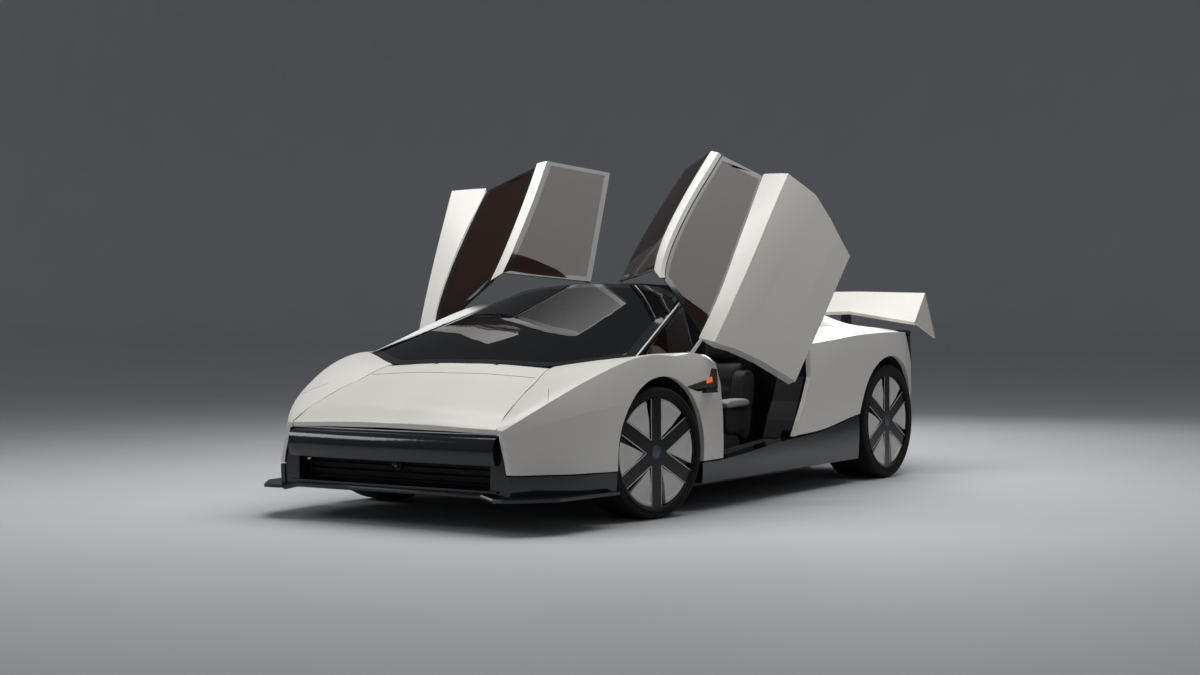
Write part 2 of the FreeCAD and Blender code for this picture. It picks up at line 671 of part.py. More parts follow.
def bar_between(ends, side, down, slant):
    """Roof bar under the ends of the roof glass, its outer face slanted as the door moves."""
    near = moved(ends, y=slant * down, z=-down)
    far = moved(near, y=side * frame_bar)
    depth = frame_bar / 2
    return slab(near, far, moved(near, y=slant * depth, z=-depth), moved(far, z=-depth))


def make_windscreen():
    base = spots(full_span(screen_base_shares))
    top = spots(full_span(screen_top_shares))
    return slab(base, top, moved(base, y=glass_wall / 2, z=-glass_wall), moved(top, y=glass_wall / 2, z=-glass_wall))


pillar_wall = 30.0
pillar_swing = 5.0
header_wall = 34.0
spine_wall = 46.0
bulkhead_share = 0.1973
bulkhead_y = bulkhead_share * tail_reach
rear_bar_end = bulkhead_y + header_wall - 3.0


def widened(points):
    """A cross curve whose two ends reach on into the pillars."""
    reach = Vector(0.62 * pillar_wall, 0, -0.2 * pillar_wall)
    drop = Vector(-reach.x, 0, reach.z)
    return [points[0] + drop] + points[1:-1] + [points[-1] + reach]


def make_roof_frame():
    """Windscreen pillars, header, the roof's middle spine and the bar behind the doors."""
    base, top = spot(*screen_base_shares[-1]), spot(*screen_top_shares[-1])
    line = moved(spots(pillar_shares), x=-pillar_swing)
    steps = [(point.y - line[0].y) / (line[-1].y - line[0].y) for point in line]
    edge = [base + (top - base) * t + Vector(2.2 * glass_seat, 0, 0) for t in steps]
    end = Vector(0, -shut_slant * pillar_wall, 0)
    edge_low = moved(edge, z=-pillar_wall)
    line_low = moved(line, x=-pillar_wall / 4, z=-pillar_wall)
    pillar = slab(edge, line, edge_low, line_low[:-1] + [line_low[-1] + end])
    front = widened(moved(spots(full_span(screen_top_shares)), y=1.5 * glass_wall))
    rear = widened(spots(full_span(header_rear_shares)))
    back = -shut_slant * header_wall
    header = slab(front, rear, moved(front, y=back, z=-header_wall), moved(rear, y=back, z=-header_wall))
    ceiling = spots(roof_inner_shares)
    inside = spot(*header_rear_shares[0]).y - header_wall / 3
    left = [Vector(ceiling[0].x, inside, ceiling[0].z)] + ceiling[1:-1] + [ceiling[-1] + Vector(0, frame_bar, 0)]
    left = moved(left, x=-panel_gap)
    right = [Vector(-point.x, point.y, point.z) for point in left]
    spine = slab(left, right, moved(left, z=-spine_wall), moved(right, z=-spine_wall))
    corner = spot(*rail_inner_shares[-1])
    crown = spot(*roof_inner_shares[-1])
    side = corner.x - panel_gap
    start = [Vector(x, corner.y + panel_gap, z) for x, z in ((-side, corner.z), (0, crown.z), (side, corner.z))]
    end = [Vector(point.x, rear_bar_end, point.z - panel_gap) for point in start]
    bar = slab(start, end, moved(start, z=-header_wall), moved(end, z=-header_wall))
    y, z = cover_hinge()
    leg = [(rear_bar_end - panel_gap, z), (rear_bar_end - panel_gap, z - header_wall / 2)]
    return joined([header, pillar, mirrored(pillar), spine, bar] + lid_ears(y, z, -1, leg))


def make_quarter_glass():
    """Small fixed light between each windscreen pillar and the door."""
    line = spots(pillar_shares)
    end = line[-1] + (line[-2] - line[-1]) * 0.1
    high = [(line[0] + line[1]) * 0.5] + line[1:-1] + [end]
    high = moved(high, x=-pillar_wall / 4 - 6 * glass_seat, z=-pillar_wall - 1.25 * glass_wall - fit_gap)
    belt = spot(*belt_shares[0]) - Vector(glass_wall + hinge_room, 2 * panel_gap, 0)
    foot = moved([Vector(belt.x, high[0].y - panel_gap, line[0].z), belt], z=-pillar_wall / 2)
    glass = slab(foot, high, moved(foot, x=-glass_wall), moved(high, x=-glass_wall))
    return both_sides(glass)


quarter_inward_shares = ((0, -1), (0, -1), (0, -1), (-1, -0.8), (-1, 0), (-1, 0), (-1, 0))
quarter_crowns = (0.0, 0.01, -0.03, 0.02, 0.0, 0.0)


def make_quarters():
    stations = [section_spots(*row) for row in quarter_shares]
    body = panel(stations, scaled_moves(quarter_inward_shares, panel_wall), quarter_crowns)
    body = body.common(behind(door_rear_shares, panel_gap / 2))
    body = body.cut(arch_space(rear_arch_y, rear_arch_z, rear_arch_radius))
    return both_sides(body)


cover_wall = 22.0
cover_end_share = 0.8128
cover_end = cover_end_share * tail_reach


def make_engine_cover():
    """Lid over the engine, between the buttresses."""
    stations = []
    for y_share, pairs in quarter_shares:
        edge_x, edge_z = pairs[0]
        half = [(edge_x - panel_gap / half_width, edge_z), (0.55 * edge_x, edge_z + 0.004)]
        line = [(-x, z) for x, z in half] + [(0.0, edge_z + 0.006)] + half[::-1]
        stations.append(section_spots(y_share, line))
    moves = [Vector(0, 0, -cover_wall)] * len(stations[0])
    body = panel(stations, moves, (0, 0, 0, 0))
    reach = half_width
    body = body.common(block(-reach, reach, cover_hinge()[0], cover_end, 0, roof_height + overrun))
    return with_lid_pins(body, *cover_hinge(), -1)


def cover_hinge():
    """Place along the car and height of the engine cover's hinged edge."""
    y = rear_bar_end + 2 * panel_gap
    row = row_of(quarter_shares, y / tail_reach)
    return y, row[1][0][1] * roof_height


tail_x_shares = (-0.84, -0.62, -0.30, 0.0, 0.30, 0.62, 0.84)
tail_y_shares = (0.929, 0.960, 0.978, 0.985, 0.978, 0.960, 0.929)
tail_profile_shares = ((-0.0046, 0.7469), (-0.0128, 0.7118), (-0.0055, 0.6286), (0.0000, 0.5306),
                       (-0.0064, 0.4245), (-0.0183, 0.3592))
tail_wall = 36.0
deck_end_share = 0.8977
deck_shares = (0.690, 0.905, 0.7555)


def tail_depth(z_share):
    """How far the tail's back wall is set back at a height, both as shares."""
    rows = tail_profile_shares
    for (high_y, high_z), (low_y, low_z) in zip(rows, rows[1:]):
        if low_z <= z_share <= high_z:
            return low_y + (high_y - low_y) * (z_share - low_z) / (high_z - low_z)
    return rows[0][0]


def make_rear_fascia():
    """Deck behind the engine cover, and the tail's bent back wall."""
    deck = spot(*deck_shares)
    deck_end = deck_end_share * tail_reach
    wires = []
    for x_share, y_share in zip(tail_x_shares, tail_y_shares):
        outer = [Vector(x_share * half_width, deck_end, deck.z)]
        outer = outer + [spot(x_share, y_share + y, z) for y, z in tail_profile_shares]
        moves = [Vector(0, 0, -cover_wall), Vector(0, -tail_wall, -cover_wall)]
        moves = moves + [Vector(0, -tail_wall, 0)] * (len(outer) - 2)
        inner = [place + move for place, move in zip(outer, moves)]
        wires.append(Part.makePolygon(outer + inner[::-1] + outer[:1]))
    back = solid_of(Part.makeLoft(wires, True, False))
    side = deck.x - panel_gap
    lid = block(-side, side, cover_end + panel_gap, deck_end - fit_gap, deck.z - cover_wall, deck.z)
    return Part.makeCompound([back, lid])


lamp_z_shares = (0.7069, 0.6939)
lamp_reach = 12.0
lamp_x = 0.78 * half_width


def make_tail_lamp():
    """Thin lamp across the tail, proud of its back wall."""
    wires = []
    for x_share, y_share in zip(tail_x_shares, tail_y_shares):
        seat = [spot(x_share, y_share + tail_depth(z_share), z_share) for z_share in lamp_z_shares]
        points = moved(seat, y=lamp_reach) + moved(seat[::-1], y=3 * fit_gap)
        wires.append(Part.makePolygon(points + points[:1]))
    bar = solid_of(Part.makeLoft(wires, True, False))
    return bar.common(block(-lamp_x, lamp_x, 0, 2 * tail_reach, 0, roof_height))


wing_shares = ((0.000, 0.8400, 0.849, 0.913, 0.966), (0.476, 0.8400, 0.857, 0.913, 0.966), (0.950, 0.8400, 0.798, 0.916, 0.955))
wing_wall = 20.0
fin_shares = ((0.840, 0.798), (0.916, 0.955), (0.990, 0.709))
fin_wall = 12.0
pylon_x = 0.42 * half_width
pylon_wall = 26.0
pylon_reach = 70.0
pylon_foot_share = 0.868


def make_wing():
    """Raised rear wing, kinked at mid span, with a fin at each end."""
    wires = []
    rows = [(-x, a, b, c, d) for x, a, b, c, d in wing_shares[:0:-1]] + list(wing_shares)
    for x_share, lead_y, lead_z, trail_y, trail_z in rows:
        lead, trail = spot(x_share, lead_y, lead_z), spot(x_share, trail_y, trail_z)
        down = Vector(0, wing_wall / 2, -wing_wall)
        points = [lead, trail, trail + down, lead + down]
        wires.append(Part.makePolygon(points + points[:1]))
    plane = solid_of(Part.makeLoft(wires, True, True))
    tip = 0.95 * half_width
    points = [(point.y, point.z) for point in spots([(0, y, z) for y, z in fin_shares])]
    fin = side_prism(points, tip - fin_wall, tip)
    return joined([plane, fin, mirrored(fin)])


def make_wing_pylons():
    foot = spot(0, pylon_foot_share, deck_shares[2])
    t = (pylon_x / half_width) / wing_shares[1][0]
    rows = zip(wing_shares[0], wing_shares[1])
    x_share, lead_y, lead_z, trail_y, trail_z = [a + t * (b - a) for a, b in rows]
    lead, trail = spot(0, lead_y, lead_z), spot(0, trail_y, trail_z)
    under = [place + Vector(0, wing_wall / 2, -wing_wall - fit_gap) for place in (lead, trail)]
    low, high = [under[0] + (under[1] - under[0]) * share for share in (0.12, 0.55)]
    points = [(foot.y - pylon_reach, foot.z), (foot.y + pylon_reach, foot.z), (high.y, high.z), (low.y, low.z)]
    pylon = side_prism(points, pylon_x - pylon_wall / 2, pylon_x + pylon_wall / 2)
    return both_sides(pylon)


diffuser_x = 0.60 * half_width
diffuser_wall = 14.0
fin_count = 5


def make_diffuser():
    """Rising floor under the tail, with fins."""
    front_y, kick_y, rear_y = 0.235 * tail_reach, 0.80 * tail_reach, tail_reach
    low, high = 0.110 * roof_height, 0.30 * roof_height
    outline = [(front_y, low), (kick_y, low), (rear_y, high), (rear_y, high + diffuser_wall), (kick_y, low + diffuser_wall), (front_y, low + diffuser_wall)]
    floor = side_prism(outline, -diffuser_x, diffuser_x)
    pieces = [floor]
    fin = [(kick_y, low), (rear_y, high), (rear_y, low + 4 * diffuser_wall), (kick_y + 4 * diffuser_wall, low)]
    for i in range(fin_count):
        x = (2 * i / (fin_count - 1) - 1) * (diffuser_x - diffuser_wall)
        pieces.append(side_prism(fin, x - diffuser_wall / 4, x + diffuser_wall / 4))
    return joined(pieces)


sill_depth = 110.0
sill_z = 150.0


def make_sills():
    """Dark sills under the doors and rear quarters, between the wheel arches."""
    stations = []
    for y_share, low_x, low_z in ((-0.392, 0.990, 0.216), (-0.300, 0.988, 0.219), (-0.104, 0.988, 0.250),
                                  (0.012, 0.986, 0.268), (0.192, 0.985, 0.287), (0.320, 0.986, 0.318), (0.430, 0.986, 0.343)):
        top = spot(low_x, y_share, low_z) - Vector(0, 0, panel_gap)
        foot = Vector(top.x - valance_lean, top.y, sill_z)
        stations.append([top, foot])
    body = panel(stations, [Vector(-sill_depth, 0, 0)] * 2, (0.02,))
    return both_sides(body.cut(block(0, tub_x + fit_gap, -nose_reach, tail_reach, 0, roof_height)))


floor_z = 125.0
tub_x = 0.895 * half_width
tub_post_top = 0.645 * roof_height
sill_inner_x = 0.78 * half_width
bulkhead_wall = 34.0
firewall_y = front_arch_y + front_arch_radius + panel_gap


def make_cabin_tub():
    """Floor, tunnel, side members, footwell bulkhead and the bulkhead behind the seats."""
    rear_y = bulkhead_y + bulkhead_wall
    floor = block(-tub_x, tub_x, firewall_y, rear_y, floor_z, floor_z + tub_wall)
    tunnel = block(-0.11 * half_width, 0.11 * half_width, firewall_y, bulkhead_y, floor_z, 0.30 * roof_height)
    front = block(-sill_inner_x, sill_inner_x, firewall_y, firewall_y + bulkhead_wall, floor_z, 0.60 * roof_height)
    outline = [(firewall_y, floor_z), (rear_y, floor_z), (rear_y, 0.28 * roof_height), (-0.29 * nose_reach, 0.21 * roof_height), (firewall_y, 0.21 * roof_height)]
    member = side_prism(outline, sill_inner_x, tub_x)
    post_low = 0.18 * roof_height
    post_front = min(firewall_y, spot(*hinge_shares).y - 2 * boss_radius)
    post_line = [(post_front, post_low), (-0.312 * nose_reach, post_low), (-0.345 * nose_reach, tub_post_top),
                 (post_front, tub_post_top)]
    front_post = side_prism(post_line, sill_inner_x, tub_x)
    section = quarter_shares[2]
    clear = header_wall + panel_gap + fit_gap
    inner = [place + move for place, move in zip(section_spots(*section), scaled_moves(quarter_inward_shares, clear))]
    outline = [(place.x, place.z) for place in inner[:3]] + [(tub_x, inner[3].z), (tub_x, floor_z)]
    outline = outline + [(-x, z) for x, z in outline[::-1]]
    rear = front_prism(outline, bulkhead_y, rear_y)
    pieces = [floor, tunnel, front, member, mirrored(member), front_post, mirrored(front_post), rear]
    jamb_line = shut_line(door_rear_shares, panel_gap)[:7]
    jamb = jamb_line + [(y + 1.4 * bulkhead_wall, z) for y, z in jamb_line[::-1]]
    jamb_post = side_prism(jamb, sill_inner_x, 0.955 * half_width)
    top_z = 0.672 * roof_height
    keep = block(sill_inner_x, tub_x, 0, bulkhead_y + tub_wall, floor_z, top_z)
    outer_keep = block(tub_x - tub_wall, half_width, 0, bulkhead_y + tub_wall, 0.30 * roof_height, top_z)
    jamb_post = jamb_post.common(joined([keep, outer_keep]))
    brace = block(sill_inner_x, sill_inner_x + tub_wall, 0.08 * tail_reach, rear_y, floor_z, 0.69 * roof_height)
    brace = brace.common(behind(door_rear_shares, panel_gap + 1.0))
    pieces = pieces + [jamb_post, mirrored(jamb_post), brace, mirrored(brace)]
    pieces = pieces + door_bracket() + [mirrored(piece) for piece in door_bracket()]
    return joined(pieces)


front_tub_x = 0.50 * half_width
front_tub_wall = 14.0
front_tub_nose_share = -0.915


def make_front_tub():
    """Luggage tray under the hood and the front structure behind it."""
    nose_y, cross_y, rear_y = front_tub_nose_share * nose_reach, -0.640 * nose_reach, firewall_y - fit_gap
    low = splitter_z + splitter_rise + fit_gap
    top = [(nose_y, 0.415 * roof_height), (-0.781 * nose_reach, 0.545 * roof_height), (-0.690 * nose_reach, 0.600 * roof_height), (rear_y, 0.60 * roof_height)]
    body = side_prism([(rear_y, low), (nose_y, low)] + top, -front_tub_x, front_tub_x)
    inner = front_tub_x - front_tub_wall
    tray = block(-inner, inner, nose_y + front_tub_wall, cross_y, low + front_tub_wall, roof_height)
    bay = block(-inner, inner, cross_y + front_tub_wall, rear_y - front_tub_wall, low + front_tub_wall, roof_height)
    y, z = hood_hinge()
    neck = y + 4 * hinge_pin_radius
    top_z = 0.60 * roof_height - glass_seat
    foot = cross_y + front_tub_wall / 2
    leg = [(neck, z), (cross_y - 3 * front_tub_wall, top_z), (foot, top_z), (foot, top_z - header_wall), (neck, top_z - header_wall / 2)]
    return joined([body.cut(tray).cut(bay)] + lid_ears(y, z, 1, leg))


def make_wheel_liners():
    pieces = []
    for y, z, radius in ((front_arch_y, front_arch_z, front_arch_radius), (rear_arch_y, rear_arch_z, rear_arch_radius)):
        outer = radius - fit_gap
        ring = axle_rod(outer, front_tub_x + fit_gap, liner_outer_x, y, z)
        ring = ring.cut(axle_rod(outer - arch_wall, 0, half_width, y, z))
        ring = ring.cut(block(0, half_width, y - 2 * outer, y + 2 * outer, z - 2 * outer, z))
        pieces.append(ring)
    return Part.makeCompound([solid for piece in pieces for solid in both_sides(piece).Solids])


cowl_z = 0.60 * roof_height + fit_gap
dash_foot_share = 0.45
dash_side_shares = ((0, -0.655, 0.612), (0, -0.440, 0.655), (0, -0.330, 0.668), (0, -0.295, 0.640),
                    (0, -0.290, 0.540), (0, -0.330, 0.470))
dash_plan_shares = ((0.48, -0.66), (0.77, -0.55), (0.77, -0.28))


def make_dashboard():
    """Full-width dash with a cowl that runs on under the windscreen."""
    back = firewall_y + bulkhead_wall + panel_gap
    front = dash_side_shares[0][1] * nose_reach
    outline = [(point.y, point.z) for point in spots(dash_side_shares)]
    outline = outline + [(back, dash_foot_share * roof_height), (back, cowl_z), (front, cowl_z)]
    body = side_prism(outline, -dash_plan_shares[-1][0] * half_width, dash_plan_shares[-1][0] * half_width)
    half = [(point.x, point.y) for point in spots([(x, y, 0) for x, y in dash_plan_shares])]
    keep = plan_prism(half + [(-x, y) for x, y in half[::-1]], 0, roof_height)
    return body.common(keep)


wheel_rim_radius = 172.0
grip_radius = 14.0
wheel_hub_radius = 48.0
wheel_hub_depth = 34.0
wheel_spoke_width = 44.0
wheel_spoke_wall = 16.0
column_radius = 26.0
column_length = 240.0
column_rake = 20.0
wheel_shares = (0.36, -0.215, 0.600)
grip_sides = 8


def make_steering_wheel():
    """Steering wheel with its column, for a driver on the left."""
    centre = spot(*wheel_shares)
    rake = math.radians(column_rake)
    axis = Vector(0, -math.cos(rake), -math.sin(rake))
    turns = [i * 2 * math.pi / grip_sides for i in range(grip_sides)]
    bead = [Vector(grip_radius * math.cos(turn), 0, grip_radius * math.sin(turn)) for turn in turns]
    bead = moved(bead, x=wheel_rim_radius)
    ring = Part.Face(Part.makePolygon(bead + bead[:1])).revolve(Vector(0, 0, 0), Vector(0, 0, 1), 360)
    ring.rotate(Vector(0, 0, 0), Vector(1, 0, 0), 90 - column_rake)
    spoke = block(-wheel_rim_radius, wheel_rim_radius, -wheel_spoke_wall / 2, wheel_spoke_wall / 2,
                  -wheel_spoke_width / 2, wheel_spoke_width / 2)
    spoke.rotate(Vector(0, 0, 0), Vector(1, 0, 0), column_rake)
    for piece in (ring, spoke):
        piece.translate(centre)
    hub = Part.makeCylinder(wheel_hub_radius, wheel_hub_depth, centre, axis)
    column = Part.makeCylinder(column_radius, column_length, centre, axis).cut(make_dashboard())
    column = max(column.Solids, key=lambda solid: solid.BoundBox.YMax)
    return joined([ring, hub, spoke, column])


seat_x = 0.36 * half_width
seat_width_share = 0.48
seat_width = seat_width_share * half_width
seat_length = 680.0
seat_height = 790.0
seat_back_gap = 12.0
cushion_shares = ((0.000, 0.000), (0.000, 0.190), (0.088, 0.228), (0.647, 0.139), (0.765, 0.177), (0.897, 0.785),
                  (0.868, 0.962), (0.926, 1.000), (0.982, 0.962), (1.000, 0.759), (0.882, 0.025), (0.824, 0.000))
bolster_shares = ((0.059, 0.000), (0.059, 0.241), (0.588, 0.266), (0.735, 0.684), (0.941, 0.709), (0.882, 0.000))


def seat_outline(shares):
    """Side-view outline of a seat, in front of the bulkhead and on the floor."""
    front = bulkhead_y - seat_back_gap - seat_length
    low = floor_z + tub_wall + fit_gap
    return [(front + y_share * seat_length, low + z_share * seat_height) for y_share, z_share in shares]


def make_seats():
    """Two bucket seats: cushion, backrest with headrest, and side bolsters."""
    middle = side_prism(seat_outline(cushion_shares), seat_x - seat_width / 3, seat_x + seat_width / 3)
    edge = seat_outline(bolster_shares)
    left = side_prism(edge, seat_x + seat_width / 3, seat_x + seat_width / 2)
    right = side_prism(edge, seat_x - seat_width / 2, seat_x - seat_width / 3)
    return both_sides(joined([middle, left, right]))


engine_x = 0.33 * half_width


def make_power_unit():
    """Engine and gearbox as one plain block."""
    low = 0.110 * roof_height + diffuser_wall + fit_gap
    return block(-engine_x, engine_x, 0.26 * tail_reach, 0.70 * tail_reach, low, 0.56 * roof_height)


rail_x = engine_x + fit_gap + 70.0
rail_low = 1.36 * rear_tyre_radius + fit_gap
rail_high = rail_low + 70.0
cross_y = 0.93 * tail_reach


def make_rear_frame():
    """Rails behind the cabin bulkhead that carry the engine, the deck and the tail."""
    front_y = bulkhead_y + bulkhead_wall + fit_gap
    rail = block(engine_x + fit_gap, rail_x, front_y, cross_y, rail_low, rail_high)
    deck_low = spot(*deck_shares).z - cover_wall - fit_gap
    post_y = cover_end + 2 * bulkhead_wall
    post = block(engine_x + fit_gap, rail_x, post_y, post_y + bulkhead_wall, rail_low, deck_low)
    wing_foot = block(rail_x - bulkhead_wall, front_tub_x, rear_arch_y, rear_arch_y + bulkhead_wall, rail_low, rail_high)
    cross = block(-rail_x, rail_x, cross_y - bulkhead_wall, tail_reach, rail_low, rail_high)
    cross = cross.cut(make_rear_fascia().Solids[0])
    cross = min(cross.Solids, key=lambda solid: solid.BoundBox.YMin)
    cross = cross.common(block(-rail_x, rail_x, 0, tail_reach - fit_gap, 0, roof_height))
    return joined([rail, mirrored(rail), post, mirrored(post), wing_foot, mirrored(wing_foot), cross])


pod_shares = (0.999, -0.400, 0.513)
pod_length = 110.0
pod_height = 24.0
pod_reach = 34.0
pod_slant = 15.0


def make_side_cameras():
    """Camera pods behind the front wings' top edge."""
    low = spot(*pod_shares)
    outline = [(low.y, low.z), (low.y + pod_length, low.z), (low.y + pod_length - pod_slant, low.z + pod_height),
               (low.y + pod_slant, low.z + pod_height)]
    return both_sides(side_prism(outline, low.x - 3 * fit_gap, low.x + pod_reach))


# Wheels
tyre_crown = 6.0
barrel_wall = 9.0
spoke_count = 6
spoke_width = 78.0
spoke_top = 14.0
spoke_floor = 34.0
backing_wall = 6.0
hub_radius = 74.0
stub_radius = 22.0
disc_radius = 178.0
disc_wall = 26.0
disc_inset = 62.0
cover_lift = 18.0
cover_cutback = math.radians(9.0)


def make_tyre(face, width, radius, rim_radius, y):
    inner = face - width
    bead = rim_radius + fit_gap
    shoulder = radius - 16.0
    points = [(inner + 8.0, bead), (inner, bead + 14.0), (inner + 4.0, shoulder - 4.0), (inner + 20.0, radius - tyre_crown), (inner + width / 2, radius),
              (face - 20.0, radius - tyre_crown), (face - 4.0, shoulder - 4.0), (face, bead + 14.0), (face - 8.0, bead)]
    return turned_profile(points, y, radius)


def make_rim(face, width, radius, rim_radius, stub_end, y):
    """Barrel, backing disc, hub, six parallel-sided spokes, brake disc and stub axle."""
    inner = face - width + 10.0
    floor = face - spoke_floor
    barrel = [(inner, rim_radius - barrel_wall), (inner, rim_radius), (face - 10.0, rim_radius), (face - 10.0, rim_radius - barrel_wall)]
    pieces = [turned_profile(barrel, y, radius)]
    pieces.append(axle_rod(rim_radius - barrel_wall / 2, floor - backing_wall, floor, y, radius))
    pieces.append(axle_rod(hub_radius, floor - backing_wall, face - spoke_top, y, radius))
    for i in range(spoke_count):
        spoke = block(floor - backing_wall / 2, face - spoke_top, y - spoke_width / 2, y + spoke_width / 2, radius, radius + rim_radius - barrel_wall / 2)
        spoke.rotate(Vector(0, y, radius), Vector(1, 0, 0), i * 360.0 / spoke_count)
        pieces.append(spoke)
    disc_x = stub_end + disc_inset
    pieces.append(axle_rod(disc_radius, disc_x, disc_x + disc_wall, y, radius))
    pieces.append(axle_rod(hub_radius, disc_x, floor, y, radius))
    pieces.append(axle_rod(stub_radius, stub_end, disc_x, y, radius))
    body = joined(pieces)
    limit = axle_rod(rim_radius, 0, half_width + overrun, y, radius)
    return body.common(limit)


def make_wheel_cover(face, radius, rim_radius, y):
    """Sectors between the spokes, each cut back along one side."""
    floor = face - spoke_floor + fit_gap
    points = [(floor, hub_radius + 10.0), (face - cover_lift - 4.0, hub_radius + 10.0), (face - cover_lift + 6.0, rim_radius * 0.62), (face - cover_lift, rim_radius - barrel_wall - 3.0), (floor, rim_radius - barrel_wall - 3.0)]
    ring = turned_profile(points, y, radius)
    edge = spoke_width / 2 + 3.0
    turn = 2 * math.pi / spoke_count
    corner = (edge, edge * (1 + math.cos(turn)) / math.sin(turn))
    reach = 1.4 * rim_radius
    sectors = []
    for i in range(spoke_count):
        far = turn - cover_cutback
        line = [corner, (corner[0], corner[1] + reach), (corner[0] + reach * math.sin(far), corner[1] + reach * math.cos(far))]
        sector = side_prism([(y + u, radius + v) for u, v in line], floor - 1.0, face)
        sector.rotate(Vector(0, y, radius), Vector(1, 0, 0), i * 360.0 / spoke_count)
        sectors = sectors + ring.common(sector).Solids
    return Part.makeCompound(sectors)


# Knuckles and suspension
kingpin_x = front_wheel_face - front_tyre_width / 2 - kingpin_inset
kingpin_radius = 15.0
carrier_radius = 62.0
carrier_wall = 44.0
arm_wall = 22.0
arm_low_z = 0.62 * front_tyre_radius
arm_high_z = 1.36 * front_tyre_radius
rear_carrier_x = 0.700 * half_width


def make_knuckle():
    """Left front knuckle: bearing carrier, kingpin and brake caliper bracket."""
    y, z = front_axle_y, front_tyre_radius
    carrier = axle_rod(carrier_radius, kingpin_x - carrier_wall / 2, kingpin_x + carrier_wall / 2, y, z)
    pin = Part.makeCylinder(kingpin_radius, arm_high_z + 2 * arm_wall - arm_low_z, Vector(kingpin_x, y, arm_low_z - arm_wall / 2))
    neck = block(kingpin_x - carrier_wall / 2, kingpin_x + carrier_wall / 2, y - 1.6 * kingpin_radius, y + 1.6 * kingpin_radius,
                 arm_low_z + arm_wall + 3.0, arm_high_z - 3.0)
    body = joined([carrier, pin, neck])
    return body.cut(axle_rod(stub_radius + fit_gap, 0, half_width, y, z))


def make_suspension():
    """Front wishbones, and rear arms with the knuckles that they carry."""
    y = front_axle_y
    pieces = []
    for z in (arm_low_z, arm_high_z):
        eye = Part.makeCylinder(2.2 * kingpin_radius, arm_wall, Vector(kingpin_x, y, z))
        inner_x = front_tub_x + fit_gap
        plan = [(inner_x, y - 190.0), (inner_x, y - 130.0), (kingpin_x - 60.0, y), (inner_x, y + 130.0), (inner_x, y + 190.0), (kingpin_x, y + 20.0), (kingpin_x, y - 20.0)]
        arm = joined([plan_prism(plan, z, z + arm_wall), eye])
        arm = arm.cut(Part.makeCylinder(kingpin_radius + fit_gap, 4 * arm_wall, Vector(kingpin_x, y, z - arm_wall)))
        pieces = pieces + both_sides(arm).Solids
    y, z = rear_axle_y, rear_tyre_radius
    carrier = axle_rod(carrier_radius, rear_carrier_x - carrier_wall, rear_carrier_x, y, z)
    plate = block(rear_carrier_x - carrier_wall, rear_carrier_x, y - 40.0, y + 40.0, 0.62 * z, 1.36 * z)
    inner_x = engine_x + fit_gap
    arms = []
    for level in (0.62 * z, 1.36 * z - arm_wall):
        plan = [(inner_x, y - 190.0), (inner_x, y - 140.0), (rear_carrier_x - 60.0, y), (inner_x, y + 100.0), (inner_x, y + 150.0), (rear_carrier_x, y + 20.0), (rear_carrier_x, y - 20.0)]
        arms.append(plan_prism(plan, level, level + arm_wall))
    rear = joined([carrier, plate] + arms).cut(axle_rod(stub_radius + fit_gap, 0, half_width, y, z))
    shaft = axle_rod(stub_radius - 2.0, inner_x, rear_carrier_x - carrier_wall - fit_gap, y, z)
    return Part.makeCompound(pieces + both_sides(rear).Solids + both_sides(shaft).Solids)


def export(name, shape):
    placed = shape.copy()
    placed.translate(Vector(0, (nose_reach - tail_reach) / 2, 0))
    placed.exportStep("parts/" + name + ".step")


def door_axis():
    toe, dip = math.radians(hinge_toe), math.radians(hinge_dip)
    return Vector(math.cos(dip) * math.cos(toe), math.cos(dip) * math.sin(toe), math.sin(dip))


def export_doors():
    for name, shape in make_door().items():
        swung = shape.copy()
        swung.rotate(spot(*hinge_shares), door_axis(), door_open)
        export(name + "_left", swung)
        export(name + "_right", mirrored(swung))


def export_wheels():
    front = (front_wheel_face, front_tyre_width, front_tyre_radius, front_rim_radius)
    rear = (rear_wheel_face, rear_tyre_width, rear_tyre_radius, rear_rim_radius)
    stub_ends = {"front": kingpin_x - carrier_wall / 2, "rear": rear_carrier_x - carrier_wall}
    for end, sizes, y in (("front", front, front_axle_y), ("rear", rear, rear_axle_y)):
        face, width, radius, rim_radius = sizes
        pieces = {"tyre": make_tyre(face, width, radius, rim_radius, y),
                  "rim": make_rim(face, width, radius, rim_radius, stub_ends[end], y),
                  "wheel_cover": make_wheel_cover(face, radius, rim_radius, y)}
        if end == "front":
            pieces["knuckle"] = make_knuckle()
        for name, shape in pieces.items():
            for side in ("left", "right"):
                placed = shape.copy() if side == "left" else mirrored(shape)
                x = kingpin_x if side == "left" else -kingpin_x
                if end == "front":
                    placed.rotate(Vector(x, y, 0), Vector(0, 0, 1), parked_steer)
                node = name + "_" + side if name == "knuckle" else name + "_" + end + "_" + side
                export(node, placed)


makers = {"fenders": make_fenders, "hood": make_hood, "front_bumper": make_front_bumper, "splitter": make_splitter,
          "intake_grille": make_intake_grille,
          "light_bar": make_light_bar, "windscreen": make_windscreen, "roof_frame": make_roof_frame,
          "quarter_glass": make_quarter_glass, "rear_quarters": make_quarters, "engine_cover": make_engine_cover,
          "rear_fascia": make_rear_fascia, "tail_lamp": make_tail_lamp, "wing": make_wing, "wing_pylons": make_wing_pylons,
          "diffuser": make_diffuser, "sills": make_sills, "cabin_tub": make_cabin_tub, "front_tub": make_front_tub,
          "wheel_liners": make_wheel_liners, "dashboard": make_dashboard, "steering_wheel": make_steering_wheel,
          "seats": make_seats, "power_unit": make_power_unit, "rear_frame": make_rear_frame, "side_cameras": make_side_cameras, "suspension": make_suspension}
for node, maker in makers.items():
    export(node, maker())
export_doors()
export_wheels()
